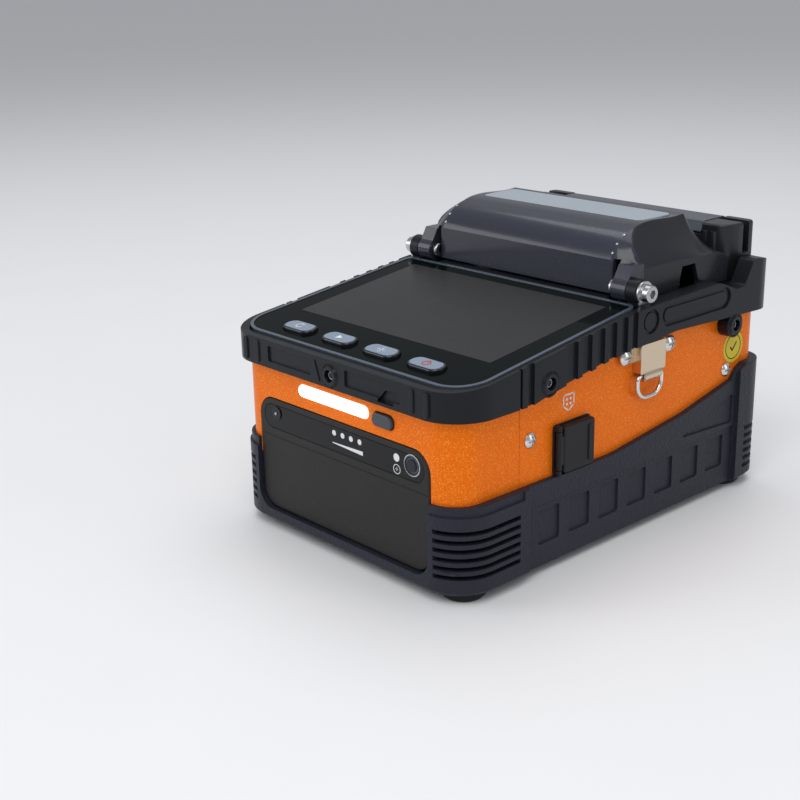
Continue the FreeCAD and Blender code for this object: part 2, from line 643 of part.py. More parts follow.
def arc_board():
    board = box(-50, 50, -14, 24, 14, 15.6)
    board = board.fuse(box(-40, -8, -8, 18, 15.6, 38))
    return board.fuse(box(6, 22, -6, 12, 15.6, 30)).fuse(rod(7, (36, 4, 15.6), Z_AXIS, 22)).removeSplitter()


def battery_bay():
    bay = box(-56.5, 56.5, -94.0, -17.5, 62.0, 63.6)
    bay = bay.fuse(box(-56.5, 56.5, -19.0, -17.5, 40.0, 63.6))
    for x in (-56.5, 55.0):
        bay = bay.fuse(box(x, x + 1.5, -94.0, -17.5, BASE_FLOOR, 63.6))
    return bay.fuse(box(-12, 12, -21.4, -19.0, 44.0, 52.0)).removeSplitter()


def battery_case():
    face = front_block(-BATTERY_HALF, BATTERY_HALF, BATTERY_LOW, BATTERY_HIGH, 8.6, PANEL_FRONT - 0.4, -94.0)
    rim = min(face.Faces, key=lambda item: item.CenterOfMass.y)
    face = face.makeFillet(0.8, rim.Edges)
    high = BATTERY_HIGH - 1.4
    shell = front_block(-51, 51, BATTERY_LOW + 0.4, high, 6.0, -94.4, -22.4)
    shell = shell.cut(front_block(-49.2, 49.2, BATTERY_LOW + 2.2, high - 1.8, 4.2, -91.5, -24.2))
    case = face.fuse(shell).removeSplitter()
    strip = front_block(-BATTERY_HALF + 3.2, BATTERY_HALF - 2.6, 47.0, BATTERY_HIGH - 2.4, 5.4, -110, -98.0)
    case = case.cut(strip)
    case = case.cut(box(-60, 60, -110, -98.2, 43.2, 43.8))
    case = case.cut(rod(RELEASE_RADIUS + 0.25, (RELEASE_X, -110, RELEASE_Z), Y_AXIS, 19.0))
    return case.cut(rod(2.9, (-41.0, -110, 53.0), Y_AXIS, 12.4))


def battery_release():
    button = rod(RELEASE_RADIUS, (RELEASE_X, -98.35, RELEASE_Z), Y_AXIS, 2.6)
    return button.fuse(rod(1.6, (RELEASE_X, -96.0, RELEASE_Z), Y_AXIS, 3.0)).removeSplitter()


def battery_indicator():
    """Round window over the charge light at the left of the strip."""
    return rod(2.75, (-41.0, -98.3, 53.0), Y_AXIS, 0.65)


def battery_cells():
    cells = []
    pitch = 2 * CELL_RADIUS + 0.4
    for row, count in ((0, 5), (1, 4)):
        for i in range(count):
            x = (i - (count - 1) / 2) * pitch
            z = BATTERY_LOW + 2.6 + CELL_RADIUS + row * (pitch - 1.6)
            cells.append(rod(CELL_RADIUS, (x, -90.5, z), Y_AXIS, CELL_LENGTH))
    return cells


def battery_board():
    board = box(-46, 46, -90.5, -30, 53.0, 54.4)
    return board.fuse(box(-10, 10, -30.4, -25.0, 50.0, 54.4)).removeSplitter()


# ---------------------------------------------------------------- deck
def deck_plate():
    deck = plan_block(PANEL_HALF, 9.0, PANEL_REAR, [0.5, 0.5, 10.0, 10.0], DECK_LOW, DECK_TOP)
    sill_outline = [(6.2, 96.0), (14.5, 96.0), (14.5, SILL_TOP), (10.5, SILL_TOP), (6.2, 100.8)]
    sill = side_profile(sill_outline, -50.4, 50.4)
    deck = deck.fuse(sill).removeSplitter()
    deck = deck.cut(box(-8.5, 8.5, 38.5, 57.5, 90, 100))
    for tool in both_sides(box(33.0, 43.0, 44.0, 52.0, 90, 100)):
        deck = deck.cut(tool)
    return deck


def hinge_bracket():
    base = side_profile([(HINGE_Y - 3.6, DECK_TOP), (HINGE_Y + 6, DECK_TOP), (HINGE_Y + 5.4, HINGE_Z),
                         (HINGE_Y - 3.6, HINGE_Z)], 62.3, BRACKET_OUT)
    top = rod(5.4, (62.3, HINGE_Y, HINGE_Z), X_AXIS, BRACKET_OUT - 62.3)
    return fused([base, top]).cut(rod(HINGE_PIN, (60, HINGE_Y, HINGE_Z), X_AXIS, 12))


def hinge_washer():
    plate = rod(4.9, (BRACKET_OUT, HINGE_Y, HINGE_Z), X_AXIS, 1.2)
    tail = side_block(HINGE_Y - 3.4, HINGE_Y + 3.4, HINGE_Z - 8.0, HINGE_Z,
                      1.5, BRACKET_OUT, BRACKET_OUT + 1.2)
    return fused([plate, tail]).cut(rod(HINGE_PIN, (60, HINGE_Y, HINGE_Z), X_AXIS, 12))


def hinge_screw():
    """Cap screw through bracket and ear, with a round nut on its inner end."""
    start = BRACKET_OUT + 1.2
    shaft = rod(HINGE_PIN, (52.0, HINGE_Y, HINGE_Z), X_AXIS, start - 51.9)
    head = rod(3.6, (start, HINGE_Y, HINGE_Z), X_AXIS, 3.8)
    rim = [edge for edge in head.Edges if edge.BoundBox.XMin > start + 3.7]
    head = head.makeChamfer(0.4, rim)
    socket = Part.Face(Part.makePolygon([
        Vector(start + 1.4, HINGE_Y + 1.9 * math.cos(i * math.pi / 3), HINGE_Z + 1.9 * math.sin(i * math.pi / 3))
        for i in range(7)])).extrude(Vector(5, 0, 0))
    nut = rod(3.5, (51.6, HINGE_Y, HINGE_Z), X_AXIS, 2.2)
    nut_rim = [edge for edge in nut.Edges if edge.BoundBox.XMax < 51.61]
    nut = nut.makeChamfer(0.4, nut_rim).cut(rod(1.5, (51.0, HINGE_Y, HINGE_Z), X_AXIS, 1.6))
    return fused([shaft, head.cut(socket), nut])


# ---------------------------------------------------------------- windshield
def spline_through(points):
    curve = Part.BSplineCurve()
    curve.interpolate(points)
    return curve.toShape()


def shield_section(x, reach, wall):
    """Outline across the windshield. Reach is 0 at the end of its flat top and 1 at its outer crease."""
    fall_front = (1 - reach) ** 0.85
    fall_rear = (1 - reach) ** 1.5
    front = SHIELD_FRONT + 6.0 * reach ** 2 + wall
    low = SHIELD_FRONT_LOW - 1.2 * reach - (20 if wall else 0)
    rear = SHIELD_REAR - wall
    rear_low = SHIELD_REAR_LOW - (20 if wall else 0)
    crown_front = SHIELD_CREASE + 1.2 + (SHIELD_TOP - SHIELD_CREASE - 1.2) * fall_front - wall
    crown_rear = SHIELD_CREASE + (SHIELD_TOP - SHIELD_CREASE) * fall_rear - wall
    shoulder = Vector(x, front, SHIELD_CREASE + 0.6 + 3.8 * fall_front - wall * 0.5)
    brow = Vector(x, front + 1.2 + 4.0 * fall_front, SHIELD_CREASE + 1.0 + 10.2 * fall_front - wall * 0.7)
    ridge = Vector(x, front + 1.6 + 12.4 * fall_front ** 2, crown_front - 1.4 * fall_rear)
    top_front = Vector(x, 30.0 + wall * 0.5, crown_front)
    top_rear = Vector(x, 59.0 - wall, crown_rear)
    slope_high = Vector(x, 64.4 + 3 * reach - wall * 0.8, SHIELD_CREASE + 10.2 * fall_rear - wall * 0.8)
    slope_low = Vector(x, 70.6 + 1.5 * reach - wall * 0.8, SHIELD_CREASE - 0.9 + 3.4 * fall_rear - wall)
    heel = Vector(x, rear, 108.8 + 1.8 * fall_rear - wall)
    edges = [
        Part.LineSegment(Vector(x, front, low), shoulder).toShape(),
        spline_through([shoulder, brow, ridge]),
        spline_through([ridge, top_front, top_rear]) if reach > 0 else crown_edge(ridge, top_front, top_rear),
        spline_through([top_rear, slope_high, slope_low, heel]),
        Part.LineSegment(heel, Vector(x, rear, rear_low)).toShape(),
        Part.LineSegment(Vector(x, rear, rear_low), Vector(x, front, low)).toShape(),
    ]
    return Part.Wire(edges)


def crown_edge(ridge, top_front, top_rear):
    """Nearly flat top, rolled down at its front."""
    middle = (top_front + top_rear) * 0.5
    return spline_through([ridge, top_front, middle, top_rear])


def shield_solid(top_half, half, wall):
    middle = Part.Face(shield_section(-top_half, 0, wall)).extrude(Vector(2 * top_half, 0, 0))
    steps = [0.0, 0.2, 0.45, 0.7, 1.0]
    wires = [shield_section(top_half + (half - top_half) * step, step, wall) for step in steps]
    end = Part.makeLoft(wires, True, False)
    return fused([middle, end, mirrored(end)])


def windshield_skin():
    skin = shield_solid(SHIELD_TOP_HALF, SHIELD_HALF, 0)
    return skin.cut(shield_solid(SHIELD_TOP_HALF - 0.8, SHIELD_HALF - SHIELD_WALL, SHIELD_WALL))


def cheek_region():
    """Plan of the right cheek: behind the ridge that runs from the flat top's end to the crease."""
    outline = [Vector(SHIELD_TOP_HALF, 90, 80), Vector(SHIELD_TOP_HALF, 24.5, 80), Vector(52.4, 21.0, 80),
               Vector(55.4, 17.6, 80), Vector(58.8, 16.4, 80), Vector(62.5, 17.4, 80), Vector(70, 17.4, 80),
               Vector(70, 90, 80)]
    return Part.Face(Part.makePolygon(outline + outline[:1])).extrude(Vector(0, 0, 60))


def windshield_ear():
    ring = rod(5.3, (EAR_IN, HINGE_Y, HINGE_Z), X_AXIS, EAR_OUT - EAR_IN)
    arm = side_profile([(HINGE_Y - 5.3, HINGE_Z), (HINGE_Y + 5.3, HINGE_Z), (HINGE_Y + 8.4, 117.0),
                        (HINGE_Y + 6.0, 121.5), (HINGE_Y + 1.2, 117.5)], EAR_IN, EAR_OUT)
    outline = shield_solid(SHIELD_TOP_HALF, SHIELD_HALF, 0)
    return fused([ring, arm.common(outline), arm.common(box(50, EAR_OUT, 0, 20, 100, 116.0))])


def windshield_shell():
    shell = windshield_skin().cut(cheek_region()).cut(mirrored(cheek_region()))
    gap = box(51.2, EAR_IN, 0, HINGE_Y + 8.5, 90, 117.5)
    for tool in both_sides(gap):
        shell = shell.cut(tool)
    bore = rod(HINGE_PIN + RUNNING, (EAR_IN - 1, HINGE_Y, HINGE_Z), X_AXIS, 12)
    for ear in both_sides(windshield_ear().cut(cheek_region())):
        shell = shell.fuse(ear)
    for tool in both_sides(bore):
        shell = shell.cut(tool)
    for i in range(GROOVE_COUNT):
        y = SHIELD_FRONT + 3.4 + 3.6 * i
        z = 121.0 + 3.2 * i - 0.32 * i * i
        shell = shell.cut(rod(0.55, (-47.0, y, z), X_AXIS, 94.0))
    # Bed for the top plate.
    shell = shell.cut(plan_block(47.2, 32.8, 55.2, 3.2, SHIELD_TOP - 0.5, 140))
    return shell.removeSplitter()


def windshield_cheek():
    cheek = windshield_skin().common(cheek_region())
    notch = [(40.6, 90), (55.6, 90), (55.6, 102), (52.6, 110.2), (43.6, 110.2), (41.6, 102)]
    return cheek.cut(side_profile(notch, 55, 70)).removeSplitter()


def windshield_plate():
    plate = plan_block(47.0, 33.0, 55.0, 3.0, SHIELD_TOP - 0.5, SHIELD_TOP + 0.25)
    rim = [edge for edge in plate.Edges if edge.BoundBox.ZMin > SHIELD_TOP + 0.24]
    return plate.makeChamfer(0.2, rim)


def presser_guides():
    ceiling = SHIELD_TOP - SHIELD_WALL - 0.45
    guide = box(PRESSER_X - 4.5, PRESSER_X + 4.5, FIBRE_Y - 4.5, FIBRE_Y + 4.5, 113.0, ceiling)
    guide = guide.cut(rod(PRESSER_RADIUS + RUNNING, (PRESSER_X, FIBRE_Y, 110), Z_AXIS, 15.0))
    return both_sides(guide)


def presser():
    post = rod(PRESSER_RADIUS, (PRESSER_X, FIBRE_Y, 106.6), Z_AXIS, 16.0)
    foot = box(PRESSER_X - 3, PRESSER_X + 3, FIBRE_Y - 2, FIBRE_Y + 2, FIBRE_Z + 0.9, 107.4)
    return fused([post, foot])


# ---------------------------------------------------------------- splicing stage
def stage_block():
    block = box(-31, 31, 27, 69, 72.0, DECK_LOW)
    block = block.cut(box(-9, 9, 28, 68, 60, 100))
    for tool in both_sides(box(11, 27, 32, 64, 60, 86)):
        block = block.cut(tool)
    return block


def v_groove():
    block = box(10.0, 19.0, FIBRE_Y - 4.5, FIBRE_Y + 4.5, DECK_TOP, FIBRE_Z + 0.3)
    notch = [(FIBRE_Y, FIBRE_Z - 0.3), (FIBRE_Y + 0.7, FIBRE_Z + 1), (FIBRE_Y - 0.7, FIBRE_Z + 1)]
    return block.cut(side_profile(notch, 5, 25))


def electrode(direction):
    """Tungsten rod with a ground point facing the fibre gap."""
    tip = FIBRE_Y + direction * 1.1
    axis = Vector(0, direction, 0)
    point = Part.makeCone(0.05, 1.0, 4.0, Vector(0, tip, FIBRE_Z), axis)
    return point.fuse(rod(1.0, (0, tip + direction * 4.0, FIBRE_Z), axis, 16.0)).removeSplitter()


def electrode_clamp(direction):
    near = FIBRE_Y + direction * 9.8
    far = FIBRE_Y + direction * 19.5
    low, high = min(near, far), max(near, far)
    block = box(-7, 7, low, high, DECK_TOP, 108.4)
    block = block.cut(rod(1.0, (0, low - 1, FIBRE_Z), Y_AXIS, 12))
    return block.cut(box(-7.5, 7.5, low + 3.5, high - 3.5, 107.4, 109))


def objective(lean):
    """Objective barrel looking up at the fibre, leaning to one side."""
    axis = Vector(0, lean * 0.5, -0.866)
    start = Vector(0, FIBRE_Y, FIBRE_Z) + axis * 15.3
    barrel = rod(3.4, (start.x, start.y, start.z), axis, 12.0)
    middle = start + axis * 12.0
    return barrel.fuse(rod(4.2, (middle.x, middle.y, middle.z), axis, 4.5)).removeSplitter()


def camera_module(lean):
    y = FIBRE_Y + lean * 21.5
    body = box(-10, 10, y - 8, y + 8, 56.0, 70.5)
    return body.fuse(box(-13, 13, y - 10, y + 10, 54.4, 56.0)).removeSplitter()


def stage_motors():
    motors = []
    for x in (15.2, 22.8):
        motors.append(rod(3.6, (x, FIBRE_Y, 74.0), Z_AXIS, 11.0))
    motors.append(rod(4.0, (46.2, FIBRE_Y, 86.5), X_AXIS, 14.0))
    return motors + [mirrored(motor) for motor in motors]


def holder():
    """Sheath holder on its feed carriage, with knuckles for the lid's pin."""
    block = box(HOLDER_IN, HOLDER_OUT, 39.4, 55.2, DECK_TOP + 0.15, FIBRE_Z)
    outline = [(FIBRE_Y, FIBRE_Z - 1.4), (FIBRE_Y + 1.6, FIBRE_Z + 1), (FIBRE_Y - 1.6, FIBRE_Z + 1)]
    groove = side_profile(outline, 20, 60)
    block = block.cut(groove)
    keel = box(35.8, 39.4, 45.0, 51.0, DECK_LOW - 4.0, DECK_TOP + 1.0)
    nut = rod(3.0, (35.6, FIBRE_Y, 86.5), X_AXIS, 4.0)
    pieces = [block, keel.fuse(nut)]
    for x in (HOLDER_IN, HOLDER_OUT - 2.2):
        pieces.append(box(x, x + 2.2, 54.0, 59.0, DECK_TOP + 0.15, HOLDER_PIN_Z))
        pieces.append(rod(2.0, (x, HOLDER_PIN_Y, HOLDER_PIN_Z), X_AXIS, 2.2))
    shape = fused(pieces).cut(rod(1.0, (20, HOLDER_PIN_Y, HOLDER_PIN_Z), X_AXIS, 40))
    return shape.cut(rod(1.05, (30, FIBRE_Y, 86.5), X_AXIS, 15))


def holder_pin():
    return rod(1.0, (HOLDER_IN, HOLDER_PIN_Y, HOLDER_PIN_Z), X_AXIS, HOLDER_OUT - HOLDER_IN)


def holder_lid():
    x0, x1 = HOLDER_IN + 2.4, HOLDER_OUT - 2.4
    lid = side_block(42.6, HOLDER_PIN_Y, FIBRE_Z + 0.35, FIBRE_Z + 3.6, 0.6, x0, x1)
    barrel = rod(1.95, (x0, HOLDER_PIN_Y, HOLDER_PIN_Z), X_AXIS, x1 - x0)
    grip = box((x0 + x1) / 2 - 4, (x0 + x1) / 2 + 4, 40.8, 43.4, FIBRE_Z + 1.2, FIBRE_Z + 3.0)
    lid = fused([lid, barrel, grip])
    return lid.cut(rod(1.0 + RUNNING, (20, HOLDER_PIN_Y, HOLDER_PIN_Z), X_AXIS, 40))


def lead_screws():
    screw = rod(1.0, (29.0, FIBRE_Y, 86.5), X_AXIS, 31.0)
    block = box(43.0, 45.8, 44.5, 51.5, 80.0, DECK_LOW - 0.5)
    screw = screw.common(box(31.5, 45.9, 40, 56, 80, 100))
    return both_sides(fused([screw, block]))


# ---------------------------------------------------------------- sleeve heater


def heater_body():
    body = plan_block(HEATER_HALF, HEATER_FRONT, HEATER_REAR, [9.0, 9.0, 3.0, 3.0], DECK_TOP, 116.6)
    body = body.cut(box(-46, 46, TROUGH_Y - 3.7, TROUGH_Y + 3.7, 106.0, 130))
    for x0, x1 in ((-HEATER_HALF, -LID_HALF - 0.4), (LID_HALF + 0.4, HEATER_HALF)):
        corners = [2.0, 9.0, 3.0, 2.0] if x0 > 0 else [9.0, 2.0, 2.0, 3.0]
        cap = plan_block(0.5 * (x1 - x0), HEATER_FRONT, HEATER_REAR, corners, 110.0, HEATER_TOP)
        cap.translate(Vector(0.5 * (x0 + x1), 0, 0))
        cap = cap.makeFillet(1.2, [edge for edge in cap.Edges if edge.BoundBox.ZMin > HEATER_TOP - 0.01])
        body = body.fuse(cap)
    body = body.cut(box(-70, 70, TROUGH_Y - 2.3, TROUGH_Y + 2.3, 108.0, 130))
    body = body.cut(box(-LID_HALF - 0.35, LID_HALF + 0.35, HEATER_PIN_Y - 2.6, 110, 115.6, 130))
    # Ribbed cooling columns on the front of both end caps.
    for x in (47.6, 52.0):
        for tool in both_sides(rod(1.5, (x, HEATER_FRONT + 0.3, DECK_TOP), Z_AXIS, 22.0)):
            body = body.fuse(tool)
    body = body.cut(rod(1.2, (-50, HEATER_PIN_Y, HEATER_PIN_Z), X_AXIS, 100))
    return body.removeSplitter()


def heater_channel():
    channel = box(-44, 44, TROUGH_Y - 3.4, TROUGH_Y + 3.4, 106.4, 115.4)
    return channel.cut(box(-50, 50, TROUGH_Y - 2.4, TROUGH_Y + 2.4, 108.4, 120))


def heater_pin():
    return rod(1.2, (-50, HEATER_PIN_Y, HEATER_PIN_Z), X_AXIS, 100)


def heater_lid():
    outline = [(HEATER_FRONT + 0.6, 117.0), (HEATER_PIN_Y - 1.0, 117.0), (HEATER_PIN_Y + 0.6, HEATER_TOP),
               (HEATER_FRONT + 3.4, HEATER_TOP)]
    lid = side_profile(outline, -LID_HALF, LID_HALF, [0.4, 0.2, 0.8, 1.6])
    lid = lid.fuse(rod(2.3, (-LID_HALF, HEATER_PIN_Y, HEATER_PIN_Z), X_AXIS, 2 * LID_HALF))
    lid = lid.cut(box(-42, 42, HEATER_FRONT + 4.0, TROUGH_Y + 1.0, 116, 119.4))
    return lid.cut(rod(1.2 + RUNNING, (-50, HEATER_PIN_Y, HEATER_PIN_Z), X_AXIS, 100)).removeSplitter()


# ---------------------------------------------------------------- the whole splicer
def build():
    os.makedirs("parts", exist_ok=True)
    save("base_bumper", base_bumper())
    save("foot_pads", foot_pads())
    save("tripod_insert", tripod_insert())
    save("front_panel", front_panel())
    save("side_panel_right", side_panel_right())
    save("side_panel_left", mirrored(side_panel()))
    save("rear_panel", rear_panel())
    save("top_bumper", top_bumper())
    save("bumper_posts", bumper_posts())
    save("screen_trim", screen_trim())
    save("screen_glass", screen_glass())
    save("lcd_module", lcd_module())
    for name, x in zip(("key_return", "key_run", "key_menu", "key_power"), key_centres()):
        save(name, key_cap(x))
    save("key_board", key_board())
    save("lamp_lens", lamp_lens())
    save("lamp_board", lamp_board())
    save("light_switch", light_switch())
    save("switch_housing", switch_housing())
    save("port_bezel", port_bezel())
    save("port_cover", port_cover())
    save("port_connectors", port_connectors())
    save("strap_lugs", both_sides(strap_lug()))
    save("strap_ring_right", strap_ring())
    save("strap_ring_left", mirrored(strap_ring()))
    save("panel_screws", panel_screws())
    save("main_board", main_board())
    save("arc_board", arc_board())
    save("battery_bay", battery_bay())
    save("battery_case", battery_case())
    save("battery_release", battery_release())
    save("battery_cells", battery_cells())
    save("battery_board", [battery_board(), battery_indicator()])
    save("deck_plate", deck_plate())
    save("hinge_brackets", both_sides(hinge_bracket()))
    save("hinge_screws", both_sides(hinge_washer()) + both_sides(hinge_screw()))
    save("windshield_shell", windshield_shell())
    save("windshield_cheek_right", windshield_cheek())
    save("windshield_cheek_left", mirrored(windshield_cheek()))
    save("windshield_plate", windshield_plate())
    save("presser_guides", presser_guides())
    save("presser_right", presser())
    save("presser_left", mirrored(presser()))
    save("stage_block", stage_block())
    save("v_grooves", both_sides(v_groove()))
    save("electrodes", [electrode(-1), electrode(1)])
    save("electrode_clamps", [electrode_clamp(-1), electrode_clamp(1)])
    save("objectives", [objective(-1), objective(1)])
    save("camera_modules", [camera_module(-1), camera_module(1)])
    save("stage_motors", stage_motors())
    save("holder_right", [holder(), holder_pin()])
    save("holder_left", [mirrored(holder()), mirrored(holder_pin())])
    save("holder_lid_right", holder_lid())
    save("holder_lid_left", mirrored(holder_lid()))
    save("lead_screws", lead_screws())
    save("heater_body", [heater_body(), heater_pin()])
    save("heater_channel", heater_channel())
    save("heater_lid", heater_lid())


build()
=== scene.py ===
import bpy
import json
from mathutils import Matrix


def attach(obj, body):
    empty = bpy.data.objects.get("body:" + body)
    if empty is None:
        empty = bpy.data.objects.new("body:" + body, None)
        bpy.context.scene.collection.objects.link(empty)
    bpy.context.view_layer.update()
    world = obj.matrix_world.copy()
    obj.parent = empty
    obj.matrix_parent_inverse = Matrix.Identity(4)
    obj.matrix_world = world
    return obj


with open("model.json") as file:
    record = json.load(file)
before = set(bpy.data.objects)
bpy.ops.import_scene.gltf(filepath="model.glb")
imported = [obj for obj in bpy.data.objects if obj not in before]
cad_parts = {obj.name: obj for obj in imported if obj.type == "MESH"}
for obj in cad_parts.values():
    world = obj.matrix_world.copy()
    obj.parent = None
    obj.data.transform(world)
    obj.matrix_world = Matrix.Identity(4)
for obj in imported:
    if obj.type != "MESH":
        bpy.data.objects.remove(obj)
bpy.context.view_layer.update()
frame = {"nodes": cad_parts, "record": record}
import json
import math

import bmesh
import bpy
from mathutils import Matrix, Vector

bl_info = {
    "name": "Fusion splicer",
    "version": (1, 0, 0),
    "blender": (4, 5, 0),
    "location": "View3D > Sidebar > Splicer",
    "description": "Surfaces and fine pieces of a handheld fibre fusion splicer, on its packed frame",
    "category": "Add Mesh",
}

MM = 0.001

# The screen's slope: one point on the glass, and the three directions there.
SLOPE = math.radians(7.313)
SLOPE_POINT = Vector((0, -69.94, 91.5)) * MM
ALONG = Vector((0, math.cos(SLOPE), math.sin(SLOPE)))
RAISED = Vector((0, -math.sin(SLOPE), math.cos(SLOPE)))
KEY_LINE = -15.6
KEY_PITCH = 25.9
KEY_TOP = 1.5

# Faces that the fine pieces lie on, and places on the battery's front, in millimetres.
FRONT = -102.0              # front of the top bumper
PANEL_SIDE = 66.5           # outer face of the right side panel
BATTERY_PRINT = -98.34      # front of the battery's strip
STRIP_X = 0.3
STRIP_Z = 52.5
RELEASE_X = 43.4
RELEASE_Z = 53.6
SOCKET_X = -41.1
SOCKET_Z = 54.4
CHARGE_DOTS = (-3.1, 2.2, 7.4, 12.7)


# ------------------------------------------------------------------ shader groups
def group_tree(name, inputs, outputs):
    tree = bpy.data.node_groups.new(name, "ShaderNodeTree")
    for label, kind, value in inputs:
        socket = tree.interface.new_socket(label, in_out="INPUT", socket_type=kind)
        if value is not None:
            socket.default_value = value
    for label, kind in outputs:
        tree.interface.new_socket(label, in_out="OUTPUT", socket_type=kind)
    return tree, tree.nodes.new("NodeGroupInput"), tree.nodes.new("NodeGroupOutput")


def grain_group():
    """Fine moulded or cast grain: a normal, and a mask that is high on its peaks."""
    tree, start, end = group_tree(
        "Moulded grain",
        [("Scale", "NodeSocketFloat", 900.0), ("Depth", "NodeSocketFloat", 0.2),
         ("Relief", "NodeSocketFloat", 0.0004), ("Edge", "NodeSocketFloat", 0.0004)],
        [("Normal", "NodeSocketVector"), ("Mask", "NodeSocketFloat")])
    place = tree.nodes.new("ShaderNodeTexCoord")
    noise = tree.nodes.new("ShaderNodeTexNoise")
    noise.inputs["Detail"].default_value = 3.0
    bump = tree.nodes.new("ShaderNodeBump")
    bevel = tree.nodes.new("ShaderNodeBevel")
    bevel.samples = 4
    link = tree.links.new
    link(place.outputs["Object"], noise.inputs["Vector"])
    link(start.outputs["Scale"], noise.inputs["Scale"])
    link(start.outputs["Depth"], bump.inputs["Strength"])
    link(start.outputs["Relief"], bump.inputs["Distance"])
    link(noise.outputs["Fac"], bump.inputs["Height"])
    link(start.outputs["Edge"], bevel.inputs["Radius"])
    link(bevel.outputs["Normal"], bump.inputs["Normal"])
    link(bump.outputs["Normal"], end.inputs["Normal"])
    link(noise.outputs["Fac"], end.inputs["Mask"])
    return tree


def handling_group():
    """Uneven colour and gloss left by moulding and by handling."""
    tree, start, end = group_tree(
        "Handling",
        [("Color", "NodeSocketColor", (0.5, 0.5, 0.5, 1)), ("Amount", "NodeSocketFloat", 0.1),
         ("Roughness", "NodeSocketFloat", 0.5), ("Spread", "NodeSocketFloat", 0.08)],
        [("Color", "NodeSocketColor"), ("Roughness", "NodeSocketFloat")])
    place = tree.nodes.new("ShaderNodeTexCoord")
    broad = tree.nodes.new("ShaderNodeTexNoise")
    broad.inputs["Scale"].default_value = 22.0
    broad.inputs["Detail"].default_value = 6.0
    fine = tree.nodes.new("ShaderNodeTexNoise")
    fine.inputs["Scale"].default_value = 420.0
    both = tree.nodes.new("ShaderNodeMath")
    both.operation = "MULTIPLY_ADD"
    both.inputs[1].default_value = 0.4
    centred = tree.nodes.new("ShaderNodeMath")
    centred.operation = "SUBTRACT"
    centred.inputs[1].default_value = 0.7
    strength = tree.nodes.new("ShaderNodeMath")
    strength.operation = "MULTIPLY_ADD"
    strength.inputs[2].default_value = 1.0
    shade = tree.nodes.new("ShaderNodeHueSaturation")
    gloss = tree.nodes.new("ShaderNodeMath")
    gloss.operation = "MULTIPLY_ADD"
    link = tree.links.new
    for noise in (broad, fine):
        link(place.outputs["Object"], noise.inputs["Vector"])
    link(fine.outputs["Fac"], both.inputs[0])
    link(broad.outputs["Fac"], both.inputs[2])
    link(both.outputs[0], centred.inputs[0])
    link(centred.outputs[0], strength.inputs[0])
    link(start.outputs["Amount"], strength.inputs[1])
    link(strength.outputs[0], shade.inputs["Value"])
    link(start.outputs["Color"], shade.inputs["Color"])
    link(centred.outputs[0], gloss.inputs[0])
    link(start.outputs["Spread"], gloss.inputs[1])
    link(start.outputs["Roughness"], gloss.inputs[2])
    link(shade.outputs["Color"], end.inputs["Color"])
    link(gloss.outputs[0], end.inputs["Roughness"])
    return tree


def flake_group():
    """Metal flakes in paint: a mask of scattered small cells, and their own tilt."""
    tree, start, end = group_tree(
        "Paint flakes",
        [("Scale", "NodeSocketFloat", 2200.0), ("Share", "NodeSocketFloat", 0.2)],
        [("Mask", "NodeSocketFloat"), ("Tilt", "NodeSocketColor")])
    place = tree.nodes.new("ShaderNodeTexCoord")
    cells = tree.nodes.new("ShaderNodeTexVoronoi")
    split = tree.nodes.new("ShaderNodeSeparateColor")
    pick = tree.nodes.new("ShaderNodeMath")
    pick.operation = "LESS_THAN"
    link = tree.links.new
    link(place.outputs["Object"], cells.inputs["Vector"])
    link(start.outputs["Scale"], cells.inputs["Scale"])
    link(cells.outputs["Color"], split.inputs["Color"])
    link(split.outputs["Red"], pick.inputs[0])
    link(start.outputs["Share"], pick.inputs[1])
    link(pick.outputs[0], end.inputs["Mask"])
    link(cells.outputs["Color"], end.inputs["Tilt"])
    return tree


def add_group(tree, group, **values):
    node = tree.nodes.new("ShaderNodeGroup")
    node.node_tree = group
    for label, value in values.items():
        node.inputs[label].default_value = value
    return node


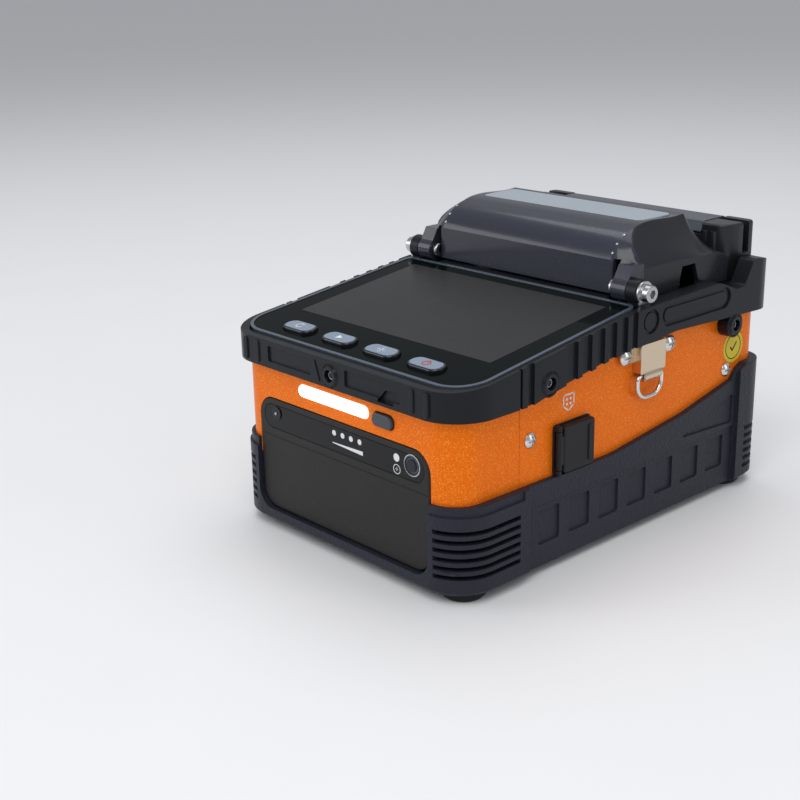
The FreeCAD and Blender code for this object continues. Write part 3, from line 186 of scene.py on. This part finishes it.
# ------------------------------------------------------------------ materials
# Colour, roughness, metallic, grain scale, grain depth, colour unevenness, coat.
FINISHES = {
    "base_plastic": ((0.019, 0.021, 0.032), 0.42, 0.0, 800, 1.00, 0.5, 0.0),
    "bumper_rubber": ((0.008, 0.009, 0.012), 0.36, 0.0, 1500, 0.10, 0.25, 0.0),
    "post_plastic": ((0.006, 0.007, 0.010), 0.25, 0.0, 1500, 0.10, 0.2, 0.1),
    "trim_plastic": ((0.090, 0.112, 0.145), 0.22, 0.4, 1500, 0.05, 0.1, 0.2),
    "display": ((0.019, 0.019, 0.0185), 0.34, 0.0, 2000, 0.02, 0.1, 0.0),
    "key_plastic": ((0.010, 0.012, 0.016), 0.16, 0.0, 1500, 0.05, 0.15, 0.5),
    "key_face": ((0.230, 0.300, 0.400), 0.28, 0.2, 1500, 0.05, 0.15, 0.4),
    "circuit_board": ((0.020, 0.130, 0.050), 0.35, 0.0, 900, 0.15, 0.3, 0.2),
    "switch_plastic": ((0.045, 0.050, 0.060), 0.22, 0.0, 1500, 0.05, 0.15, 0.3),
    "port_rubber": ((0.012, 0.012, 0.014), 0.40, 0.0, 1500, 0.15, 0.25, 0.0),
    "lug_steel": ((0.680, 0.560, 0.410), 0.26, 1.0, 1200, 0.08, 0.2, 0.0),
    "chrome": ((0.700, 0.690, 0.680), 0.12, 1.0, 900, 0.03, 0.1, 0.0),
    "screw_steel": ((0.480, 0.480, 0.490), 0.25, 1.0, 1200, 0.06, 0.2, 0.0),
    "battery_plastic": ((0.020, 0.018, 0.0175), 0.46, 0.0, 1500, 0.30, 0.3, 0.0),
    "cell_wrap": ((0.050, 0.200, 0.480), 0.30, 0.0, 600, 0.05, 0.1, 0.2),
    "deck_plastic": ((0.008, 0.009, 0.012), 0.36, 0.0, 1500, 0.15, 0.3, 0.0),
    "shield_plastic": ((0.024, 0.028, 0.042), 0.25, 0.0, 1600, 0.06, 0.2, 0.45),
    "cheek_plastic": ((0.015, 0.017, 0.022), 0.32, 0.0, 1500, 0.12, 0.25, 0.1),
    "shield_plate": ((0.460, 0.530, 0.600), 0.24, 0.5, 1500, 0.04, 0.1, 0.2),
    "white_ceramic": ((0.780, 0.770, 0.730), 0.35, 0.0, 1200, 0.05, 0.1, 0.0),
    "machined_aluminium": ((0.560, 0.570, 0.590), 0.32, 1.0, 700, 0.12, 0.2, 0.0),
    "electrode_metal": ((0.280, 0.280, 0.290), 0.25, 1.0, 900, 0.06, 0.2, 0.0),
    "black_anodised": ((0.016, 0.017, 0.020), 0.33, 0.3, 1300, 0.10, 0.3, 0.0),
    "heater_plate": ((0.050, 0.062, 0.082), 0.30, 0.3, 1500, 0.06, 0.15, 0.1),
    "brass": ((0.620, 0.440, 0.180), 0.28, 1.0, 900, 0.08, 0.2, 0.0),
    "black_gloss": ((0.003, 0.003, 0.0035), 0.20, 0.0, 1500, 0.02, 0.1, 0.05),
    "white_print": ((0.720, 0.740, 0.760), 0.45, 0.0, 1500, 0.02, 0.1, 0.0),
    "red_print": ((0.620, 0.030, 0.025), 0.40, 0.0, 1500, 0.02, 0.1, 0.0),
    "yellow_label": ((0.620, 0.470, 0.020), 0.38, 0.0, 1200, 0.04, 0.1, 0.1),
}


SURFACES = {}


def new_material(name):
    material = bpy.data.materials.new("finish_" + name)
    material.use_nodes = True
    SURFACES[name] = material
    return material


def plain_surface(name, grain, handling):
    color, rough, metallic, scale, depth, uneven, coat = FINISHES[name]
    material = new_material(name)
    tree = material.node_tree
    shader = tree.nodes["Principled BSDF"]
    texture = add_group(tree, grain, Scale=float(scale), Depth=depth)
    worn = add_group(tree, handling, Color=(*color, 1), Amount=uneven, Roughness=rough, Spread=0.25)
    tree.links.new(worn.outputs["Color"], shader.inputs["Base Color"])
    tree.links.new(worn.outputs["Roughness"], shader.inputs["Roughness"])
    tree.links.new(texture.outputs["Normal"], shader.inputs["Normal"])
    shader.inputs["Metallic"].default_value = metallic
    shader.inputs["Specular IOR Level"].default_value = 0.5 if metallic > 0.15 else 0.2
    shader.inputs["Coat Weight"].default_value = coat
    shader.inputs["Coat Roughness"].default_value = 0.12
    return material


def flake_paint(grain, handling, flakes):
    """Orange paint with fine flakes; its clear coat is left at no weight."""
    material = new_material("orange_paint")
    tree = material.node_tree
    shader = tree.nodes["Principled BSDF"]
    texture = add_group(tree, grain, Scale=1600.0, Depth=0.12)
    worn = add_group(tree, handling, Color=(0.82, 0.150, 0.001, 1), Amount=0.16, Roughness=0.38, Spread=0.1)
    cells = add_group(tree, flakes, Scale=3200.0, Share=0.14)
    mix = tree.nodes.new("ShaderNodeMix")
    mix.data_type = "RGBA"
    mix.inputs["B"].default_value = (0.90, 0.30, 0.03, 1)
    link = tree.links.new
    link(cells.outputs["Mask"], mix.inputs["Factor"])
    link(worn.outputs["Color"], mix.inputs["A"])
    link(mix.outputs["Result"], shader.inputs["Base Color"])
    link(worn.outputs["Roughness"], shader.inputs["Roughness"])
    link(texture.outputs["Normal"], shader.inputs["Normal"])
    shader.inputs["Metallic"].default_value = 0.25
    shader.inputs["Specular IOR Level"].default_value = 0.15
    shader.inputs["Coat Roughness"].default_value = 0.2
    return material


def tinted_glass(grain, handling):
    """Black-backed cover glass with a faint green tint and a thin film of handling marks."""
    material = new_material("screen_glass")
    tree = material.node_tree
    shader = tree.nodes["Principled BSDF"]
    texture = add_group(tree, grain, Scale=60.0, Depth=0.004)
    worn = add_group(tree, handling, Color=(0.002, 0.004, 0.0042, 1), Amount=0.3, Roughness=0.09, Spread=0.08)
    tree.links.new(worn.outputs["Color"], shader.inputs["Base Color"])
    tree.links.new(worn.outputs["Roughness"], shader.inputs["Roughness"])
    tree.links.new(texture.outputs["Normal"], shader.inputs["Normal"])
    shader.inputs["IOR"].default_value = 1.52
    shader.inputs["Specular IOR Level"].default_value = 0.03
    return material


def lit_lens(grain, handling):
    """Milky lamp cover, lit from behind, with slight random unevenness."""
    material = new_material("lamp_lens")
    tree = material.node_tree
    shader = tree.nodes["Principled BSDF"]
    texture = add_group(tree, grain, Scale=1500.0, Depth=0.05)
    worn = add_group(tree, handling, Color=(0.9, 0.92, 0.95, 1), Amount=0.05, Roughness=0.3, Spread=0.05)
    link = tree.links.new
    link(worn.outputs["Color"], shader.inputs["Base Color"])
    link(worn.outputs["Color"], shader.inputs["Emission Color"])
    link(worn.outputs["Roughness"], shader.inputs["Roughness"])
    link(texture.outputs["Normal"], shader.inputs["Normal"])
    shader.inputs["Emission Strength"].default_value = 1.6
    return material


class SPLICER_OT_surfaces(bpy.types.Operator):
    """Make every material and give each frame node its own"""
    bl_idname = "splicer.surfaces"
    bl_label = "Surfaces"

    def execute(self, context):
        grain, handling, flakes = grain_group(), handling_group(), flake_group()
        for name in FINISHES:
            plain_surface(name, grain, handling)
        flake_paint(grain, handling, flakes)
        tinted_glass(grain, handling)
        lit_lens(grain, handling)
        slots = {entry["node"]: entry["material_slot"] for entry in frame["record"]["subparts"]}
        for node, obj in frame["nodes"].items():
            obj.data.materials.clear()
            obj.data.materials.append(SURFACES[slots[node]])
        return {"FINISHED"}


# ------------------------------------------------------------------ mesh helpers
def on_slope(x, along, above):
    """Point in metres by its millimetres across, along and above the sloping screen."""
    return SLOPE_POINT + Vector((x * MM, 0, 0)) + ALONG * (along * MM) + RAISED * (above * MM)


def slope_place(x, along, above):
    """Matrix that lays a flat drawing on the slope, its X to the right and its Y up the slope."""
    place = Matrix.Identity(4)
    for row in range(3):
        place[row][0] = (1.0, 0.0, 0.0)[row]
        place[row][1] = ALONG[row]
        place[row][2] = RAISED[row]
        place[row][3] = on_slope(x, along, above)[row]
    return place


def front_place(x, z, y):
    """Matrix that stands a flat drawing on a front face, facing forwards."""
    return Matrix.Translation(Vector((x, y, z)) * MM) @ Matrix.Rotation(math.pi / 2, 4, "X")


def right_place(y, z, x):
    """Matrix that stands a flat drawing on a right side face, facing outwards."""
    turn = Matrix.Rotation(math.pi / 2, 4, "Z") @ Matrix.Rotation(math.pi / 2, 4, "X")
    return Matrix.Translation(Vector((x, y, z)) * MM) @ turn


def add_pill(bm, half_x, half_y, radius, height, place, low=0.0, segments=6):
    """Rounded plate in millimetres, its corners rounded."""
    found = bmesh.ops.create_cube(bm, size=1.0)["verts"]
    size = Matrix.Diagonal((2 * half_x * MM, 2 * half_y * MM, height * MM, 1))
    lift = Matrix.Translation((0, 0, (low + height / 2) * MM))
    bmesh.ops.transform(bm, matrix=place @ lift @ size, verts=found)
    upright = (place.to_3x3() @ Vector((0, 0, 1))).normalized()
    edges = {edge for vert in found for edge in vert.link_edges}
    posts = []
    for edge in edges:
        along = (edge.verts[0].co - edge.verts[1].co).normalized()
        if abs(along.dot(upright)) > 0.9:
            posts.append(edge)
    if radius > 0:
        bmesh.ops.bevel(bm, geom=posts, offset=radius * MM, segments=segments, profile=0.5,
                        affect="EDGES", material=-1)


def add_pierced_pill(bm, half_x, half_y, radius, height, place, hole, hole_radius):
    """Rounded plate in millimetres with a round hole through it."""
    rim = []
    for turn, (side_x, side_y) in enumerate(((1, 1), (-1, 1), (-1, -1), (1, -1))):
        for step in range(7):
            angle = math.radians(90 * turn + 15 * step)
            rim.append((side_x * (half_x - radius) + radius * math.cos(angle),
                        side_y * (half_y - radius) + radius * math.sin(angle)))
    angles = [math.radians(7.5 * step) for step in range(48)]
    bore = [(hole[0] + hole_radius * math.cos(a), hole[1] + hole_radius * math.sin(a)) for a in angles]
    edges = []
    for outline in (rim, bore):
        verts = [bm.verts.new(place @ (Vector((x, y, 0)) * MM)) for x, y in outline]
        edges.extend(bm.edges.new((verts[i - 1], verts[i])) for i in range(len(verts)))
    filled = bmesh.ops.triangle_fill(bm, use_beauty=True, edges=edges)["geom"]
    faces = [item for item in filled if isinstance(item, bmesh.types.BMFace)]
    lifted = bmesh.ops.extrude_face_region(bm, geom=faces)["geom"]
    front = [item for item in lifted if isinstance(item, bmesh.types.BMVert)]
    bmesh.ops.translate(bm, vec=place.to_3x3() @ Vector((0, 0, height * MM)), verts=front)


def add_disc(bm, radius, height, place, low=0.0, segments=40):
    lift = Matrix.Translation((0, 0, (low + height / 2) * MM))
    bmesh.ops.create_cone(bm, cap_ends=True, segments=segments, radius1=radius * MM, radius2=radius * MM,
                          depth=height * MM, matrix=place @ lift)


def add_ring(bm, radius, band, height, place, start=0.0, sweep=360.0, segments=48):
    """Flat ring, or part of one, swept about the drawing's own middle."""
    inner, outer = radius - band / 2, radius + band / 2
    corners = [(inner, 0), (outer, 0), (outer, height), (inner, height)]
    turn = Matrix.Rotation(math.radians(start), 4, "Z")
    verts = [bm.verts.new(place @ turn @ (Vector((x, 0, z)) * MM)) for x, z in corners]
    face = bm.faces.new(verts)
    axis = (place.to_3x3() @ Vector((0, 0, 1))).normalized()
    whole = sweep >= 360.0
    geom = list(face.edges) + list(verts) if whole else [face] + list(face.edges) + list(verts)
    if whole:
        bmesh.ops.delete(bm, geom=[face], context="FACES_ONLY")
    kept = [item for item in geom if item.is_valid]
    bmesh.ops.spin(bm, geom=kept, cent=place @ Vector((0, 0, 0)), axis=axis,
                   angle=math.radians(sweep), steps=segments, use_merge=whole)


def add_bar(bm, x0, y0, x1, y1, width, height, place):
    """Straight stroke between two points of the drawing."""
    run = Vector((x1 - x0, y1 - y0, 0))
    turn = Matrix.Rotation(math.atan2(run.y, run.x), 4, "Z")
    middle = Matrix.Translation(Vector(((x0 + x1) / 2, (y0 + y1) / 2, 0)) * MM)
    add_pill(bm, run.length / 2 + width * 0.2, width / 2, 0, height, place @ middle @ turn)


def add_wedge(bm, points, height, place):
    """Flat polygon of the drawing, raised by a height."""
    verts = [bm.verts.new(place @ (Vector((x, y, 0)) * MM)) for x, y in points]
    face = bm.faces.new(verts)
    axis = (place.to_3x3() @ Vector((0, 0, 1))).normalized()
    raised = bmesh.ops.extrude_face_region(bm, geom=[face])["geom"]
    moved = [item for item in raised if isinstance(item, bmesh.types.BMVert)]
    bmesh.ops.translate(bm, vec=axis * height * MM, verts=moved)


def finish_piece(bm, name, material, body=None, round_edges=0.0):
    """Close a mesh into a named object that rides on its body."""
    bmesh.ops.remove_doubles(bm, verts=bm.verts, dist=1e-7)
    bmesh.ops.recalc_face_normals(bm, faces=bm.faces)
    mesh = bpy.data.meshes.new(name)
    bm.to_mesh(mesh)
    bm.free()
    obj = bpy.data.objects.new(name, mesh)
    bpy.context.scene.collection.objects.link(obj)
    mesh.materials.append(SURFACES[material])
    if round_edges:
        bevel = obj.modifiers.new("rounded edges", "BEVEL")
        bevel.width = round_edges * MM
        bevel.segments = 2
        bevel.limit_method = "ANGLE"
    if body:
        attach(obj, body)
    return obj


# ------------------------------------------------------------------ pieces
class SPLICER_PG_sizes(bpy.types.PropertyGroup):
    print_height: bpy.props.FloatProperty(
        name="Print height", description="How far printed marks stand off their face", default=0.00008,
        unit="LENGTH", subtype="DISTANCE")
    display_width: bpy.props.FloatProperty(
        name="Display width", description="Width of the lit area of the screen", default=0.1152,
        unit="LENGTH", subtype="DISTANCE")
    display_length: bpy.props.FloatProperty(
        name="Display length", description="Length of the lit area along the slope", default=0.0691,
        unit="LENGTH", subtype="DISTANCE")
    lamp_strength: bpy.props.FloatProperty(
        name="Softbox strength", description="Power of the main soft light in watts", default=9.0)


class SPLICER_OT_display(bpy.types.Operator):
    """Grey display area seen through the black glass"""
    bl_idname = "splicer.display"
    bl_label = "Display"

    def execute(self, context):
        sizes = context.scene.splicer_sizes
        bm = bmesh.new()
        half = sizes.display_width / 2 / MM
        length = sizes.display_length / MM
        add_pill(bm, half, length / 2, 0.6, 0.05, slope_place(0, length / 2, 0.03))
        finish_piece(bm, "display_area", "display", body="housing")
        return {"FINISHED"}


def key_place(index):
    return slope_place(KEY_PITCH * (index - 1.5), KEY_LINE, KEY_TOP + 0.12)


class SPLICER_OT_key_marks(bpy.types.Operator):
    """White and red marks printed on the four keys"""
    bl_idname = "splicer.key_marks"
    bl_label = "Key marks"

    def execute(self, context):
        high = context.scene.splicer_sizes.print_height / MM
        for index, body in enumerate(("return_key", "run_key", "menu_key", "power_key")):
            bm = bmesh.new()
            place = slope_place(KEY_PITCH * (index - 1.5), KEY_LINE, KEY_TOP - 0.02)
            add_pill(bm, 8.0, 3.5, 3.3, 0.14, place, segments=8)
            finish_piece(bm, "face_" + body, "key_face", body=body, round_edges=0.06)
        bm = bmesh.new()
        place = key_place(0)
        add_ring(bm, 1.7, 0.5, high, place, start=60, sweep=285, segments=30)
        add_wedge(bm, [(0.1, 2.3), (1.5, 1.7), (0.5, 0.7)], high, place)
        finish_piece(bm, "mark_return", "white_print", body="return_key")
        bm = bmesh.new()
        add_wedge(bm, [(-1.3, -1.7), (1.9, 0), (-1.3, 1.7)], high, key_place(1))
        finish_piece(bm, "mark_run", "white_print", body="run_key")
        bm = bmesh.new()
        place = key_place(2)
        add_bar(bm, -2.0, 0, 2.0, 0, 0.45, high, place)
        add_bar(bm, 0, -1.9, 0, 1.9, 0.45, high, place)
        for angle in (0, 90, 180, 270):
            turned = place @ Matrix.Rotation(math.radians(angle), 4, "Z")
            add_wedge(bm, [(1.5, -0.7), (2.5, 0), (1.5, 0.7)], high, turned)
        finish_piece(bm, "mark_menu", "white_print", body="menu_key")
        bm = bmesh.new()
        place = key_place(3)
        add_ring(bm, 1.75, 0.5, high, place, start=115, sweep=310, segments=32)
        add_bar(bm, 0, 0.6, 0, 2.3, 0.5, high, place)
        finish_piece(bm, "mark_power", "red_print", body="power_key")
        return {"FINISHED"}


class SPLICER_OT_battery_front(bpy.types.Operator):
    """Glossy strip across the battery's front, with its charge marks"""
    bl_idname = "splicer.battery_front"
    bl_label = "Battery front"

    def execute(self, context):
        high = context.scene.splicer_sizes.print_height / MM
        bm = bmesh.new()
        hole = (RELEASE_X - STRIP_X, RELEASE_Z - STRIP_Z)
        add_pierced_pill(bm, 49.9, 5.2, 4.9, 0.34, front_place(STRIP_X, STRIP_Z, -98.0), hole, 4.15)
        finish_piece(bm, "battery_strip", "black_gloss", body="battery")
        bm = bmesh.new()
        for x in CHARGE_DOTS:
            add_disc(bm, 1.2, high, front_place(x, 55.2, BATTERY_PRINT))
        add_disc(bm, 1.7, high, front_place(34.6, 54.6, BATTERY_PRINT))
        add_ring(bm, 4.3, 0.4, high, front_place(RELEASE_X, RELEASE_Z, BATTERY_PRINT), segments=56)
        finish_piece(bm, "battery_dots", "white_print", body="battery")
        bm = bmesh.new()
        level_bar = [(-4.3, 50.6), (14.6, 49.8), (14.6, 51.6), (-4.3, 51.0)]
        add_wedge(bm, level_bar, high, front_place(0, 0, BATTERY_PRINT))
        symbol = front_place(34.7, 49.8, BATTERY_PRINT)
        add_ring(bm, 1.9, 0.35, high, symbol)
        add_bar(bm, -0.7, 0, 0.7, 0, 0.3, high, symbol)
        add_bar(bm, 0, -0.7, 0, 0.7, 0.3, high, symbol)
        finish_piece(bm, "battery_marks", "white_print", body="battery")
        bm = bmesh.new()
        add_disc(bm, 2.9, 0.5, front_place(SOCKET_X, SOCKET_Z, BATTERY_PRINT))
        finish_piece(bm, "charge_socket", "post_plastic", body="battery",
                     round_edges=0.15)
        bm = bmesh.new()
        add_disc(bm, 0.6, 0.5, front_place(SOCKET_X, SOCKET_Z, -98.8))
        finish_piece(bm, "charge_socket_pin", "screw_steel", body="battery")
        bm = bmesh.new()
        add_ring(bm, 3.85, 0.55, 0.5, front_place(RELEASE_X, RELEASE_Z, -98.2), segments=56)
        finish_piece(bm, "release_collar", "switch_plastic", body="battery",
                     round_edges=0.12)
        bm = bmesh.new()
        add_disc(bm, 2.6, 0.5, front_place(RELEASE_X, RELEASE_Z, -98.35))
        finish_piece(bm, "release_face", "base_plastic", body="battery_button",
                     round_edges=0.15)
        return {"FINISHED"}


class SPLICER_OT_side_marks(bpy.types.Operator):
    """Port symbol and round label on the right side panel"""
    bl_idname = "splicer.side_marks"
    bl_label = "Side marks"

    def execute(self, context):
        high = context.scene.splicer_sizes.print_height / MM
        bm = bmesh.new()
        place = right_place(-34.2, 69.4, PANEL_SIDE)
        shield = [(-3.1, 3.2), (3.1, 3.2), (3.1, -1.4), (0, -3.7), (-3.1, -1.4)]
        for index, (x0, y0) in enumerate(shield):
            x1, y1 = shield[(index + 1) % len(shield)]
            add_bar(bm, x0, y0, x1, y1, 0.6, high, place)
        for x, y in ((-1.1, 1.2), (1.1, 1.2), (-1.1, -0.8), (1.1, -0.8)):
            at = place @ Matrix.Translation(Vector((x, y, 0)) * MM)
            add_disc(bm, 0.6, high, at, segments=16)
        finish_piece(bm, "port_symbol", "white_print", body="housing")
        bm = bmesh.new()
        place = right_place(78.2, 68.2, PANEL_SIDE)
        add_disc(bm, 7.4, high, place, segments=64)
        finish_piece(bm, "round_label", "yellow_label", body="housing")
        bm = bmesh.new()
        lifted = place @ Matrix.Translation((0, 0, high * MM))
        add_ring(bm, 5.6, 0.45, 0.04, lifted, segments=56)
        add_bar(bm, -2.1, 0.1, -0.5, -1.6, 0.8, 0.04, lifted)
        add_bar(bm, -0.5, -1.6, 2.4, 1.8, 0.8, 0.04, lifted)
        finish_piece(bm, "label_tick", "battery_plastic", body="housing")
        return {"FINISHED"}


POST_PLACES = [
    ("front", front_place(0.0, 81.0, -100.2)),
    ("rear", Matrix.Rotation(math.pi, 4, "Z") @ front_place(0.0, 90.8, -100.2)),
    ("right_front", right_place(-51.5, 82.2, 70.2)),
    ("right_rear", right_place(70.6, 80.8, 70.2)),
    ("left_front", Matrix.Rotation(math.pi, 4, "Z") @ right_place(51.5, 82.2, 70.2)),
    ("left_rear", Matrix.Rotation(math.pi, 4, "Z") @ right_place(-70.6, 80.8, 70.2)),
]


class SPLICER_OT_bumper_trim(bpy.types.Operator):
    """Raised ribs on the front of the top bumper, and the screws sunk in its posts"""
    bl_idname = "splicer.bumper_trim"
    bl_label = "Bumper trim"

    def execute(self, context):
        bm = bmesh.new()
        for x in (-55.8, -47.8, 47.6, 55.6):
            add_pill(bm, 1.5, 5.0, 1.4, 1.2, front_place(x, 81.6, FRONT + 0.6))
        add_bar(bm, -9.6, 85.6, -6.8, 77.4, 1.2, 1.0, front_place(0, 0, FRONT + 0.5))
        finish_piece(bm, "bumper_ribs", "bumper_rubber", body="housing",
                     round_edges=0.45)
        for name, place in POST_PLACES:
            bm = bmesh.new()
            add_disc(bm, 2.2, 1.0, place, segments=36)
            finish_piece(bm, "post_screw_" + name, "black_anodised", body="housing",
                         round_edges=0.2)
            bm = bmesh.new()
            add_ring(bm, 1.45, 0.4, 0.25, place @ Matrix.Translation((0, 0, 1.0 * MM)), segments=36)
            finish_piece(bm, "post_socket_" + name, "screw_steel", body="housing")
        return {"FINISHED"}


class SPLICER_OT_shield_pins(bpy.types.Operator):
    """Small bright pin ends let into both ends of the windshield's brow"""
    bl_idname = "splicer.shield_pins"
    bl_label = "Windshield pins"

    def execute(self, context):
        shell = frame["nodes"]["windshield_shell"]
        back = shell.matrix_world.inverted()
        bm = bmesh.new()
        for x in (-49.6, 49.6):
            for z in (119.6, 123.0, 126.2):
                hit, spot, normal, _ = shell.ray_cast(back @ (Vector((x, -20, z)) * MM), Vector((0, 1, 0)))
                if not hit:
                    raise RuntimeError("the windshield has no face at this pin")
                turn = normal.to_track_quat("Z", "Y").to_matrix().to_4x4()
                place = Matrix.Translation(shell.matrix_world @ spot) @ turn
                add_disc(bm, 0.55, 0.3, place, low=-0.2, segments=20)
                add_disc(bm, 0.25, 0.3, place, low=-0.1, segments=16)
        finish_piece(bm, "shield_pins", "chrome", body="windshield")
        return {"FINISHED"}


# ------------------------------------------------------------------ stage
def soft_light(name, place, aim, size, power, shade):
    data = bpy.data.lights.new(name, "AREA")
    data.shape = "RECTANGLE"
    data.size, data.size_y = size
    data.energy = power
    data.color = shade
    lamp = bpy.data.objects.new(name, data)
    lamp.location = place
    lamp.rotation_euler = (Vector(aim) - Vector(place)).to_track_quat("-Z", "Y").to_euler()
    bpy.context.scene.collection.objects.link(lamp)
    return lamp


def floor_surface(grain, handling):
    material = new_material("pale_floor")
    tree = material.node_tree
    shader = tree.nodes["Principled BSDF"]
    texture = add_group(tree, grain, Scale=90.0, Depth=0.01)
    worn = add_group(tree, handling, Color=(0.80, 0.805, 0.815, 1), Amount=0.02, Roughness=0.6, Spread=0.05)
    tree.links.new(worn.outputs["Color"], shader.inputs["Base Color"])
    tree.links.new(worn.outputs["Roughness"], shader.inputs["Roughness"])
    tree.links.new(texture.outputs["Normal"], shader.inputs["Normal"])
    return material


class SPLICER_OT_stage(bpy.types.Operator):
    """Pale floor, soft lights, and the camera"""
    bl_idname = "splicer.stage"
    bl_label = "Stage"

    def execute(self, context):
        scene = context.scene
        strength = scene.splicer_sizes.lamp_strength
        bm = bmesh.new()
        bmesh.ops.create_grid(bm, x_segments=4, y_segments=4, size=6.0)
        mesh = bpy.data.meshes.new("floor")
        bm.to_mesh(mesh)
        bm.free()
        floor = bpy.data.objects.new("floor", mesh)
        scene.collection.objects.link(floor)
        groups = bpy.data.node_groups
        mesh.materials.append(floor_surface(groups["Moulded grain"], groups["Handling"]))
        lamps = [
            soft_light("key_light", (0.55, -0.75, 1.15), (0, 0, 0.06), (0.9, 0.9),
                       strength, (1.0, 0.99, 0.97)),
            soft_light("top_light", (-0.25, 0.35, 1.35), (0, 0, 0.08), (1.2, 1.2),
                       strength * 0.8, (0.95, 0.98, 1.0)),
            soft_light("side_light", (1.25, 0.45, 0.55), (0, 0, 0.06), (0.6, 0.9),
                       strength * 0.2, (1.0, 1.0, 1.0)),
            soft_light("front_light", (-1.0, -1.1, 0.6), (0, 0, 0.06), (0.8, 0.8),
                       strength * 0.6, (0.97, 0.98, 1.0)),
        ]
        world = bpy.data.worlds.new("studio")
        world.use_nodes = True
        sky = world.node_tree.nodes["Background"]
        sky.inputs["Color"].default_value = (0.93, 0.95, 1.0, 1)
        sky.inputs["Strength"].default_value = 0.45
        scene.world = world
        camera = self.camera(scene)
        scene.view_settings.view_transform = "Standard"
        return {"FINISHED"}

    def camera(self, scene):
        """Long lens at the front right corner, a little above."""
        azimuth, elevation, roll = (math.radians(angle) for angle in (47.891, 18.676, -1.232))
        back = Vector((math.sin(azimuth) * math.cos(elevation), -math.cos(azimuth) * math.cos(elevation),
                       math.sin(elevation)))
        right = (-back).cross(Vector((0, 0, 1))).normalized()
        up = right.cross(-back)
        across = right * math.cos(roll) + up * math.sin(roll)
        upward = up * math.cos(roll) - right * math.sin(roll)
        data = bpy.data.cameras.new("camera")
        data.sensor_width = 36.0
        data.lens = 61.5
        data.clip_start = 0.01
        camera = bpy.data.objects.new("camera", data)
        turn = Matrix((across, upward, back)).transposed().to_4x4()
        camera.matrix_world = Matrix.Translation((0.403521, -0.429328, 0.245664)) @ turn
        scene.collection.objects.link(camera)
        scene.camera = camera
        return camera


# ------------------------------------------------------------------ panel
class SPLICER_PT_panel(bpy.types.Panel):
    """Sizes and build steps of the splicer"""
    bl_label = "Splicer"
    bl_idname = "SPLICER_PT_panel"
    bl_space_type = "VIEW_3D"
    bl_region_type = "UI"
    bl_category = "Splicer"

    def draw(self, context):
        sizes = context.scene.splicer_sizes
        for name in ("print_height", "display_width", "display_length", "lamp_strength"):
            self.layout.prop(sizes, name)
        for step in STEPS:
            self.layout.operator(step.bl_idname)


STEPS = [SPLICER_OT_surfaces, SPLICER_OT_display, SPLICER_OT_key_marks, SPLICER_OT_battery_front,
         SPLICER_OT_side_marks, SPLICER_OT_bumper_trim, SPLICER_OT_shield_pins, SPLICER_OT_stage]
CLASSES = [SPLICER_PG_sizes, *STEPS, SPLICER_PT_panel]


def register():
    for item in CLASSES:
        bpy.utils.register_class(item)
    bpy.types.Scene.splicer_sizes = bpy.props.PointerProperty(type=SPLICER_PG_sizes)


def unregister():
    del bpy.types.Scene.splicer_sizes
    for item in reversed(CLASSES):
        bpy.utils.unregister_class(item)


def main():
    register()
    for step in STEPS:
        family, name = step.bl_idname.split(".")
        getattr(getattr(bpy.ops, family), name)()


if __name__ == "__main__":
    main()
